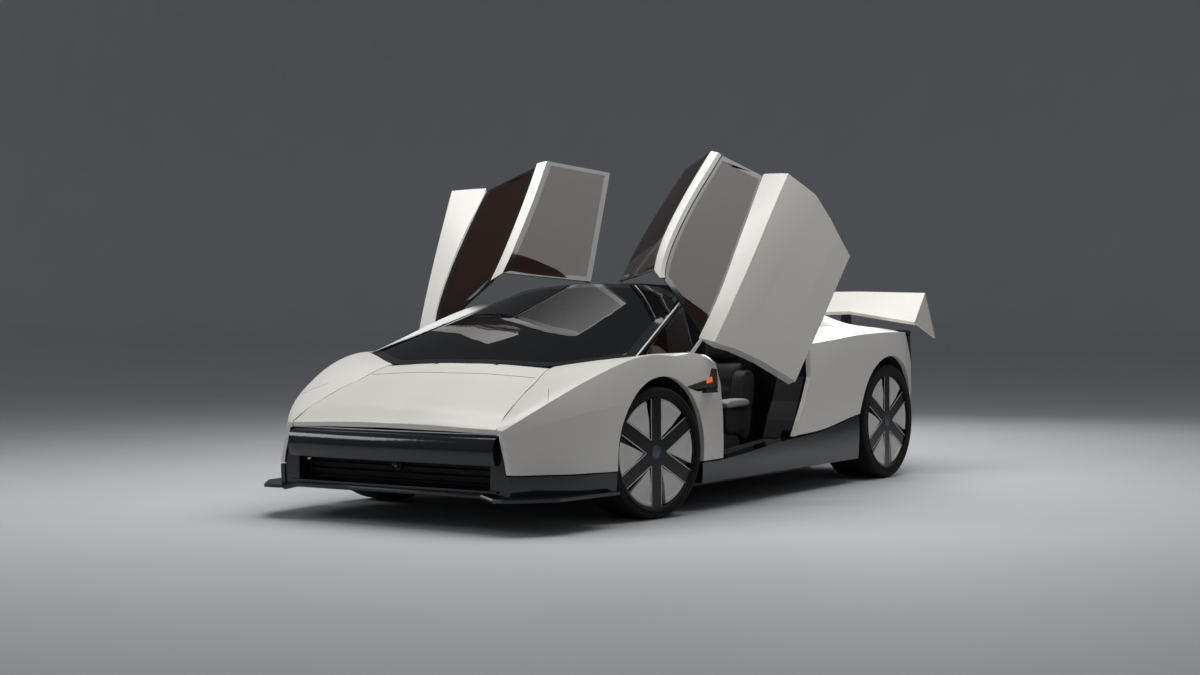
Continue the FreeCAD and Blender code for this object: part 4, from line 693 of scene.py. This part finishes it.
seam_black = moulded_black("seam_shadow_rubber", "#101011", 0.8, 0.0015, 0.00005)
for side in ("left", "right"):
    sign = 1 if side == "left" else -1
    side_panel(side)
    seam(f"lamp_seam_{side}", fender_tree, [(sign * 0.725, -1.86, 0.6), (sign * 0.835, -2.02, 0.6)],
         ALONG_CAR, "chassis")
seam("cowl_seam", hood_tree, [(-0.70, -1.715, 0.7), (0.0, -1.722, 0.7), (0.70, -1.715, 0.7)], ALONG_CAR, "hood")
print("side panels and seams laid")

# %% [markdown]
# ## Seats
# The seats are moulded foam under leather: dark pads with stitched cross seams, and side wings that
# end in pale arm pads. Each pad is a swept cushion whose section swells between its seams, and it
# stands on a hard composite shell.

# %% Padded seats
SEAT_X = 0.36
PAD_STATIONS, PAD_RING = 30, 26


def rounded(angle, power):
    c = math.cos(angle)
    return math.copysign(abs(c) ** power, c)


def swept_pad(start, end, bow, centre_x, half_width, half_depth, seams, lean=0.0):
    """A cushion swept in side view from start to end (y, z), bowed, with shallow seams across."""
    (y0, z0), (y1, z1) = start, end
    length = math.hypot(y1 - y0, z1 - z0)
    along = Vector((0, (y1 - y0) / length, (z1 - z0) / length))
    normal = Vector((0, -along.z, along.y))
    rings = []
    for i in range(PAD_STATIONS + 1):
        t = 0.5 - 0.5 * math.cos(math.pi * i / PAD_STATIONS)
        swell = max(1 - abs(2 * t - 1) ** 7, 0.0) ** 0.45 + 0.02
        for place in seams:
            swell *= 1 - 0.16 * math.exp(-((t - place) / 0.012) ** 2)
        middle = Vector((centre_x + lean * t, y0, z0)) + along * (t * length) + normal * (bow * (1 - (2 * t - 1) ** 2))
        ring = []
        for j in range(PAD_RING):
            turn = 2 * math.pi * j / PAD_RING
            side_swell = 0.93 + 0.07 * swell
            ring.append(middle + Vector((half_width * side_swell * rounded(turn, 0.34), 0, 0))
                        + normal * (half_depth * swell * rounded(turn - math.pi / 2, 0.62)))
        rings.append(ring)
    return tube_grid(rings)


def leather(name, hex_code, crease=0.0022):
    """Grained leather: rounded cells a couple of millimetres wide, with fine pores."""
    material, tree, shader = start_material(name, Base_Color=linear(hex_code), Specular_IOR_Level=0.35,
                                            Sheen_Weight=0.15)
    where = place_in_metres(tree)
    cells = add(tree, "ShaderNodeTexVoronoi", {"Vector": where, "Scale": 1 / crease}, feature="DISTANCE_TO_EDGE")
    link_bump(tree, shader, cells.outputs["Distance"], 0.0004, 0.5)
    worn = add(tree, "ShaderNodeTexNoise", {"Vector": where, "Scale": 14.0, "Detail": 3.0})
    spread = add(tree, "ShaderNodeMapRange", {"Value": worn.outputs[0], "To Min": 0.42, "To Max": 0.60})
    tree.links.new(spread.outputs[0], shader.inputs["Roughness"])
    return material


pad_leather = leather("graphite_leather", "#2A2A2D")
bolster_leather = leather("pale_grey_leather", "#B9B7B3")
SEAT_SIDE = ((-0.160, 0.153), (-0.168, 0.246), (-0.120, 0.262), (0.262, 0.212), (0.352, 0.262), (0.428, 0.750),
             (0.424, 0.880), (0.452, 0.925), (0.482, 0.905), (0.502, 0.750), (0.426, 0.175), (0.392, 0.153))
SEAT_HALF_WIDTHS = (0.235, 0.235, 0.235, 0.235, 0.235, 0.205, 0.110, 0.100, 0.110, 0.205, 0.235, 0.235)
CABIN_FLOOR = 0.1525


def make_seat(side):
    sign = 1 if side == "left" else -1
    centre = sign * SEAT_X
    rings = [[Vector((centre + share * half, y, z)) for (y, z), half in zip(SEAT_SIDE, SEAT_HALF_WIDTHS)]
             for share in (-1, -0.96, 0.96, 1)]
    for ring, squeeze in zip(rings, (0.975, 1, 1, 0.975)):
        middle = sum(ring, Vector()) / len(ring)
        ring[:] = [Vector((p.x, middle.y + (p.y - middle.y) * squeeze,
                           max(middle.z + (p.z - middle.z) * squeeze, CABIN_FLOOR))) for p in ring]
    shell = build(f"seat_shell_{side}", *tube_grid(rings), "chassis", "frame_black", [cabin_composite], 35)
    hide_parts("seats")
    pads = [swept_pad((-0.165, 0.272), (0.292, 0.222), 0.006, centre, 0.152, 0.046, (0.30, 0.52, 0.74)),
            swept_pad((0.335, 0.285), (0.425, 0.745), 0.010, centre, 0.150, 0.040, (0.26, 0.48, 0.70)),
            swept_pad((0.424, 0.775), (0.440, 0.915), 0.004, centre, 0.098, 0.034, ())]
    middle = build(f"seat_pads_{side}", *merged(pads), "chassis", "seat_grey", [pad_leather], 60)
    edges = []
    for flank in (-1, 1):
        x = centre + flank * 0.193
        edges.append(swept_pad((-0.150, 0.290), (0.240, 0.275), 0.0, x, 0.044, 0.066, (0.5,)))
        edges.append(swept_pad((0.290, 0.300), (0.395, 0.700), 0.0, x, 0.044, 0.075, (0.5,), -flank * 0.012))
        edges.append(swept_pad((0.070, 0.420), (0.315, 0.425), 0.0, centre + flank * 0.212, 0.030, 0.088, ()))
    bolsters = build(f"seat_bolsters_{side}", *merged(edges), "chassis", "seat_grey", [pad_leather], 60)
    wings = [swept_pad((0.060, 0.512), (0.325, 0.516), 0.004, centre + flank * 0.214, 0.042, 0.024, ())
             for flank in (-1, 1)]
    wing_pads = build(f"seat_wing_pads_{side}", *merged(wings), "chassis", "seat_grey", [bolster_leather], 60)


for side in ("left", "right"):
    make_seat(side)

# %% [markdown]
# ## Steering wheel and displays
# The rim is a foam-covered ring, flat at the bottom, under smooth leather. The dash carries one wide
# glass display and a lower console with its own screen, both gloss black when switched off.

# %% Steering wheel
WHEEL_CENTRE = spot(0.36, -0.215, 0.600)
WHEEL_RAKE = math.radians(20)
WHEEL_UP = Vector((0, -math.sin(WHEEL_RAKE), math.cos(WHEEL_RAKE)))
WHEEL_AXIS = Vector((0, -math.cos(WHEEL_RAKE), -math.sin(WHEEL_RAKE)))
RING_RADIUS, RING_FLAT, RING_SLICES = 0.172, 0.138, 72
GRIP_RADIUS, THUMB_SWELL, GRIP_SIDES = 0.0145, 0.0025, 14


def on_wheel(across, high, forward_by):
    return WHEEL_CENTRE + Vector((across, 0, 0)) + WHEEL_UP * high + WHEEL_AXIS * forward_by


def steering_ring():
    rings = []
    for i in range(RING_SLICES):
        turn = 2 * math.pi * i / RING_SLICES
        radius = RING_RADIUS
        if math.sin(turn) < 0:
            radius = min(radius, RING_FLAT / max(-math.sin(turn), 1e-3))
        grip = GRIP_RADIUS + THUMB_SWELL * math.exp(-((abs(math.cos(turn)) - 0.97) / 0.06) ** 2)
        ring = []
        for j in range(GRIP_SIDES):
            roll = 2 * math.pi * j / GRIP_SIDES
            reach = radius + grip * math.cos(roll)
            ring.append(on_wheel(reach * math.cos(turn), reach * math.sin(turn), grip * math.sin(roll)))
        rings.append(ring)
    rings.append(rings[0])
    return tube_grid(rings, closed_ends=False)


def rounded_plate(place, width, height, thickness, corner, edge=0.003, steps=6):
    """A plate with rounded corners and softened edges; place(a, b, c) sets it, c out of its face."""
    outline = []
    for cx, cy, start in ((1, 1, 0), (-1, 1, 90), (-1, -1, 180), (1, -1, 270)):
        for k in range(steps + 1):
            turn = math.radians(start + 90 * k / steps)
            outline.append((cx * (width / 2 - corner), cy * (height / 2 - corner), math.cos(turn), math.sin(turn)))
    rings = []
    for inset, out in ((edge, 0.0), (0.0, edge), (0.0, thickness - edge),
                       (edge * 0.3, thickness - edge * 0.3), (edge, thickness)):
        rings.append([place(x + (corner - inset) * c, y + (corner - inset) * s, out) for x, y, c, s in outline])
    return tube_grid(rings)


ring = build("steering_ring", *steering_ring(), "chassis", "trim_black", [pad_leather], 50)
spokes = merged([
    rounded_plate(lambda a, b, c: on_wheel(a, b, 0.011 - c), 0.330, 0.042, 0.020, 0.010),
    rounded_plate(lambda a, b, c: on_wheel(a, b - 0.078, 0.011 - c), 0.036, 0.135, 0.018, 0.008)])
build("steering_spokes", *spokes, "chassis", "trim_black", [satin_dark], 35)


def about_column(x, v, w):
    return on_wheel(v, w, x)


boss = spun([(0.040, 0.0005), (0.040, 0.040), (0.000, 0.052), (-0.020, 0.054), (-0.027, 0.050), (-0.030, 0.040),
             (-0.030, 0.0005)], about_column, 40)
build("steering_boss", *boss, "chassis", "trim_black", [pad_leather], 40)
column = spun([(0.035, 0.0005), (0.035, 0.030), (0.060, 0.032), (0.150, 0.040), (0.200, 0.046), (0.200, 0.0005)],
              about_column, 32)
build("steering_column_cover", *column, "chassis", "trim_black", [grained_black], 40)
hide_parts("steering_wheel")
print("steering wheel centre", tuple(round(c, 3) for c in WHEEL_CENTRE))

# %% [markdown]
# ## Dash display and console
# The display is one pane of cover glass bonded to the dash. The console is a moulded hump on the
# tunnel with a sloping screen at its front and a padded rest behind.

# %% Display, console and arm rest
display = rounded_plate(lambda a, b, c: Vector((0.06 + a, -0.6065 + b * -0.1 + c, 0.722 + b)),
                        1.02, 0.098, 0.010, 0.030)
build("dash_display", *display, "chassis", "trim_black", [piano_black], 35)
CONSOLE_SIDE = ((-0.655, 0.366), (-0.655, 0.560), (-0.600, 0.590), (-0.330, 0.432), (-0.240, 0.404), (0.030, 0.396),
                (0.330, 0.396), (0.375, 0.384), (0.385, 0.366))
CONSOLE_MIDDLE, CONSOLE_FOOT = -0.135, 0.366
rings = []
for x, squeeze in ((-0.108, 0.972), (-0.100, 1.0), (-0.03, 1.006), (0.03, 1.006), (0.100, 1.0), (0.108, 0.972)):
    rings.append([Vector((x, CONSOLE_MIDDLE + (y - CONSOLE_MIDDLE) * squeeze,
                          CONSOLE_FOOT + (z - CONSOLE_FOOT) * squeeze)) for y, z in CONSOLE_SIDE])
build("centre_console", *tube_grid(rings), "chassis", "trim_black", [satin_dark], 35)
SLOPE = Vector((0, 0.270, -0.158)).normalized()
SLOPE_OUT = Vector((0, 0.158, 0.270)).normalized()
screen = rounded_plate(lambda a, b, c: Vector((a, -0.465, 0.5125)) + SLOPE * b + SLOPE_OUT * (c - 0.002),
                       0.150, 0.235, 0.010, 0.018)
build("console_screen", *screen, "chassis", "trim_black", [piano_black], 35)
rest = build("console_rest", *swept_pad((0.035, 0.410), (0.330, 0.410), 0.003, 0.0, 0.078, 0.026, (0.5,)),
             "chassis", "trim_black", [pad_leather], 60)
print("console from", round(min(p.y for r in rings for p in r), 3), "to", round(max(p.y for r in rings for p in r), 3))

# %% [markdown]
# ## Door cards
# Inside each door a felt-backed card covers the shell, with a leather pad let into it, an arm rest and
# a pull handle. They are easiest to place on the closed door, so the CAD door is turned shut first,
# and each point is swung open again.

# %% Door cards on the parked doors
DOOR_PIVOT = Vector((0.900, -0.374 * NOSE_REACH + FRAME_SHIFT, 0.665 * ROOF_HEIGHT))
TOE, DIP, DOOR_OPEN = (math.radians(a) for a in (-29.1, -26.3, 63.9))
DOOR_AXIS = Vector((math.cos(DIP) * math.cos(TOE), math.cos(DIP) * math.sin(TOE), math.sin(DIP)))
SWING = Matrix.Rotation(DOOR_OPEN, 3, DOOR_AXIS)
CARD_LOW, CARD_HIGH = ((-0.595, 0.380), (0.165, 0.375)), ((-0.595, 0.715), (-0.30, 0.775), (0.165, 0.825))
PAD_LOW, PAD_HIGH = ((-0.470, 0.600), (0.110, 0.625)), ((-0.470, 0.668), (0.110, 0.725))


def opened(point, side):
    """A place on the closed left door, swung open, and mirrored for the right door."""
    place = DOOR_PIVOT + SWING @ (Vector(point) - DOOR_PIVOT)
    return place if side == "left" else Vector((-place.x, place.y, place.z))


def closed_door_tree():
    back = SWING.transposed()
    mesh = nodes["door_shell_left"].data
    vertices = [DOOR_PIVOT + back @ (v.co - DOOR_PIVOT) for v in mesh.vertices]
    print("closed door spans x", round(min(v.x for v in vertices), 3), "to", round(max(v.x for v in vertices), 3))
    return BVHTree.FromPolygons(vertices, [tuple(p.vertices) for p in mesh.polygons])


def make_door_card(side):
    def put(part):
        vertices, faces = part
        return [opened(v, side) for v in vertices], faces

    def from_cabin(a, b):
        return Vector((0.3, a, b))

    outward = Vector((1, 0, 0))
    card = laid_patch(door_tree, from_cabin, outward, CARD_LOW, CARD_HIGH, 26, 12, 0.003, 0.003)
    build(f"door_card_{side}", *put(card), f"door_{side}", "trim_black", [satin_dark], 35)
    insert = laid_patch(door_tree, from_cabin, outward, PAD_LOW, PAD_HIGH, 20, 5, 0.012, 0.002)
    pad = build(f"door_pad_{side}", *put(insert), f"door_{side}", "seat_grey", [bolster_leather], 35)
    face_x = door_tree.ray_cast(Vector((0.3, -0.12, 0.56)), outward)[0].x
    rest = swept_pad((-0.360, 0.560), (0.080, 0.575), 0.006, face_x - 0.022, 0.030, 0.024, (0.62,))
    arm = build(f"door_rest_{side}", *put(rest), f"door_{side}", "seat_grey", [pad_leather], 60)
    handle = rounded_plate(lambda a, b, c: Vector((face_x - 0.003 - c, -0.455 + a, 0.545 + b)),
                           0.026, 0.150, 0.026, 0.012)
    build(f"door_pull_{side}", *put(handle), f"door_{side}", "trim_black", [bright_edge], 40)
    speaker = rounded_plate(lambda a, b, c: Vector((face_x - 0.004 - c, -0.440 + a, 0.468 + b)),
                            0.085, 0.050, 0.005, 0.020)
    build(f"door_speaker_{side}", *put(speaker), f"door_{side}", "trim_black", [intake_black], 40)


door_tree = closed_door_tree()
for side in ("left", "right"):
    make_door_card(side)

# %% [markdown]
# ## Tail mesh and exhaust
# Hot air leaves through a pressed mesh under the tail, and two flattened steel tail pipes end in it.
# The mesh is real wire here, crossed at the pitch of the pressed sheet.

# %% Tail mesh and tail pipes
MESH_PITCH = 0.022
MESH_WIRE, MESH_FRAME_WIRE = 0.0016, 0.004
PIPE_X, PIPE_HIGH = 0.30, 0.4115
PIPE_HALF_WIDTH, PIPE_HALF_HEIGHT = 0.058, 0.024


def wire(start, end, radius):
    """A round wire between two points."""
    start, end = Vector(start), Vector(end)
    along = (end - start).normalized()
    side_dir = along.orthogonal().normalized()
    other = along.cross(side_dir)
    turns = [2 * math.pi * k / 6 for k in range(6)]
    return tube_grid([[p + side_dir * (radius * math.cos(t)) + other * (radius * math.sin(t)) for t in turns]
                      for p in (start, end)])


def tail_mesh():
    low, high, half, y = 0.376, 0.452, 0.585, 2.130
    parts = []
    count = int(2 * half / MESH_PITCH)
    for i in range(count + 1):
        x = -half + 2 * half * i / count
        for lean in (-1, 1):
            top = x + lean * (high - low)
            end = min(max(top, -half), half)
            parts.append(wire((x, y, low), (end, y + lean * 0.0012, low + abs(end - x)), MESH_WIRE))
    parts.append(wire((-half, y, low), (half, y, low), MESH_FRAME_WIRE))
    parts.append(wire((-half, y, high), (half, y, high), MESH_FRAME_WIRE))
    for x in (-half, half):
        parts.append(wire((x, y, low), (x, y, high), MESH_FRAME_WIRE))
    return merged(parts)


def tail_pipe(sign):
    rings = []
    turns = [2 * math.pi * k / 36 for k in range(36)]
    for y, grow in ((2.000, 0.90), (2.195, 1.0), (2.206, 1.05), (2.210, 1.02), (2.206, 0.94), (2.130, 0.90),
                    (2.050, 0.88)):
        rings.append([Vector((sign * PIPE_X + PIPE_HALF_WIDTH * grow * rounded(t, 0.55), y,
                              PIPE_HIGH + PIPE_HALF_HEIGHT * grow * rounded(t - math.pi / 2, 0.75))) for t in turns])
    return tube_grid(rings)


build("tail_mesh", *tail_mesh(), "chassis", "trim_black", [forged_steel], 40)
pipe_steel = cast_metal("heat_tinted_steel_pipe", "#9A938B", 0.28, 0.003, 0.00004)
for side, sign in (("left", 1), ("right", -1)):
    build(f"tail_pipe_{side}", *tail_pipe(sign), "chassis", "arm_steel", [pipe_steel], 40)
print("tail mesh and pipes built")

# %% [markdown]
# ## Nose details
# A small camera looks out of the middle of the intake, and a fine light guide runs under the bonnet's
# front edge, in the smoked lens that CAD has there.

# %% Nose camera and light guide
GUIDE_HEIGHT = 0.0045
bar_low, bar_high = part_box("light_bar")
print("light bar from", tuple(round(c, 3) for c in bar_low), "to", tuple(round(c, 3) for c in bar_high))


def light_guide_lens():
    """Smoked lens whose top few millimetres carry the bright guide."""
    material, tree, shader = start_material("smoked_lens_with_light_guide", Roughness=0.18, Coat_Weight=0.5,
                                            Coat_Roughness=0.05)
    place = add(tree, "ShaderNodeSeparateXYZ", {0: place_in_metres(tree)})
    high = add(tree, "ShaderNodeMath", {0: place.outputs["Z"], 1: bar_high[2] - GUIDE_HEIGHT}, operation="GREATER_THAN")
    mix = add(tree, "ShaderNodeMix", {0: high.outputs[0], 6: linear("#171A20"), 7: linear("#F4F7FA")}, data_type="RGBA")
    tree.links.new(mix.outputs[2], shader.inputs["Base Color"])
    return material


shade(nodes["light_bar"], light_guide_lens())
CAMERA_SPOT = Vector((0.0, -2.158, 0.300))
housing = spun([(0.018, 0.0005), (0.018, 0.017), (0.0, 0.019), (-0.010, 0.019), (-0.012, 0.017), (-0.009, 0.013),
                (-0.007, 0.0125), (-0.009, 0.008), (-0.0105, 0.0005)],
               lambda x, v, w: CAMERA_SPOT + Vector((v, x, w)), 32)
build("nose_camera", *housing, "chassis", "trim_black", [piano_black], 40)
stalk = rounded_plate(lambda a, b, c: CAMERA_SPOT + Vector((a, 0.004 + c, b)), 0.046, 0.052, 0.026, 0.008)
build("nose_camera_bracket", *stalk, "chassis", "trim_black", [satin_dark], 40)

# %% [markdown]
# ## Studio
# A photographer lights a car like this with one large soft light overhead and weak lights at the
# front and the rear, on a pale floor that curves up into the backdrop. The floor's own colour is the
# pale one, and it keeps the car's shadow, so no light is added for the background.

# %% Floor and lights
FLOOR_REACH, FLOOR_BEND = 70.0, 12.0


def build_floor():
    mesh = bpy.data.meshes.new("studio_floor")
    curve = [(FLOOR_REACH / 2 + FLOOR_BEND * math.sin(a), FLOOR_BEND * (1 - math.cos(a)))
             for a in [i * math.pi / 16 for i in range(9)]]
    rows = [(-FLOOR_REACH, 0.0)] + curve + [(FLOOR_REACH / 2 + FLOOR_BEND, FLOOR_REACH)]
    vertices = [(x, y, z) for y, z in rows for x in (-FLOOR_REACH, FLOOR_REACH)]
    faces = [(2 * i, 2 * i + 1, 2 * i + 3, 2 * i + 2) for i in range(len(rows) - 1)]
    mesh.from_pydata(vertices, [], faces)
    floor = bpy.data.objects.new("studio_floor", mesh)
    bpy.context.scene.collection.objects.link(floor)
    material, tree, shader = start_material("pale_studio_floor", Roughness=0.75)
    where = place_in_metres(tree)
    cloud = add(tree, "ShaderNodeTexNoise", {"Vector": where, "Scale": 0.6, "Detail": 4.0})
    mix = add(tree, "ShaderNodeMix", {0: cloud.outputs[0], 6: linear("#C9CACC"), 7: linear("#BFC0C3")},
              data_type="RGBA")
    tree.links.new(mix.outputs[2], shader.inputs["Base Color"])
    mesh.materials.append(material)
    mesh.shade_smooth()


def area_light(name, place, target, size, power):
    data = bpy.data.lights.new(name, "AREA")
    data.shape = "RECTANGLE"
    data.size, data.size_y = size
    data.energy = power
    lamp = bpy.data.objects.new(name, data)
    lamp.location = place
    lamp.rotation_euler = (Vector(target) - Vector(place)).to_track_quat("-Z", "Y").to_euler()
    bpy.context.scene.collection.objects.link(lamp)


build_floor()
area_light("overhead_softbox", (0.2, -0.2, 5.0), (0, 0, 0.4), (6.5, 4.5), 285)
area_light("key_softbox", (-5.5, -5.5, 3.8), (0, -0.4, 0.5), (3.0, 2.0), 70)
area_light("rear_strip", (-1.6, 6.0, 3.6), (0, 1.0, 0.7), (3.0, 1.2), 90)
print("floor and three lights placed")

world = bpy.data.worlds.new("studio_air")
bpy.context.scene.world = world
world.use_nodes = True
world.node_tree.nodes["Background"].inputs["Color"].default_value = linear("#DDE0E6")
world.node_tree.nodes["Background"].inputs["Strength"].default_value = 0.20
bpy.context.scene.view_settings.view_transform = "Standard"

# %% [markdown]
# The camera's place was worked out from the wheels and the body's edges in the photograph: it stands
# low, ahead of the car and to its left, and looks along the body.

# %% Camera
CAMERA_PLACE = Vector((5.929, -9.077, 1.070))
YAW, PITCH, ROLL = (math.radians(a) for a in (34.17, -0.88, -0.27))
FOCAL_PIXELS, IMAGE_WIDTH = 1818.2, 1200.0

forward = Vector((-math.sin(YAW) * math.cos(PITCH), math.cos(YAW) * math.cos(PITCH), math.sin(PITCH)))
right = Vector((math.cos(YAW), math.sin(YAW), 0.0))
up = right.cross(forward)
turned_right = right * math.cos(ROLL) + up * math.sin(ROLL)
turned_up = up * math.cos(ROLL) - right * math.sin(ROLL)
camera_data = bpy.data.cameras.new("studio_camera")
camera_data.sensor_fit = "HORIZONTAL"
camera_data.angle = 2 * math.atan(IMAGE_WIDTH / 2 / FOCAL_PIXELS)
camera = bpy.data.objects.new("studio_camera", camera_data)
camera.matrix_world = Matrix.Translation(CAMERA_PLACE) @ Matrix(
    (turned_right, turned_up, -forward)).transposed().to_4x4()
bpy.context.scene.collection.objects.link(camera)
bpy.context.scene.camera = camera
print("camera at", tuple(CAMERA_PLACE))
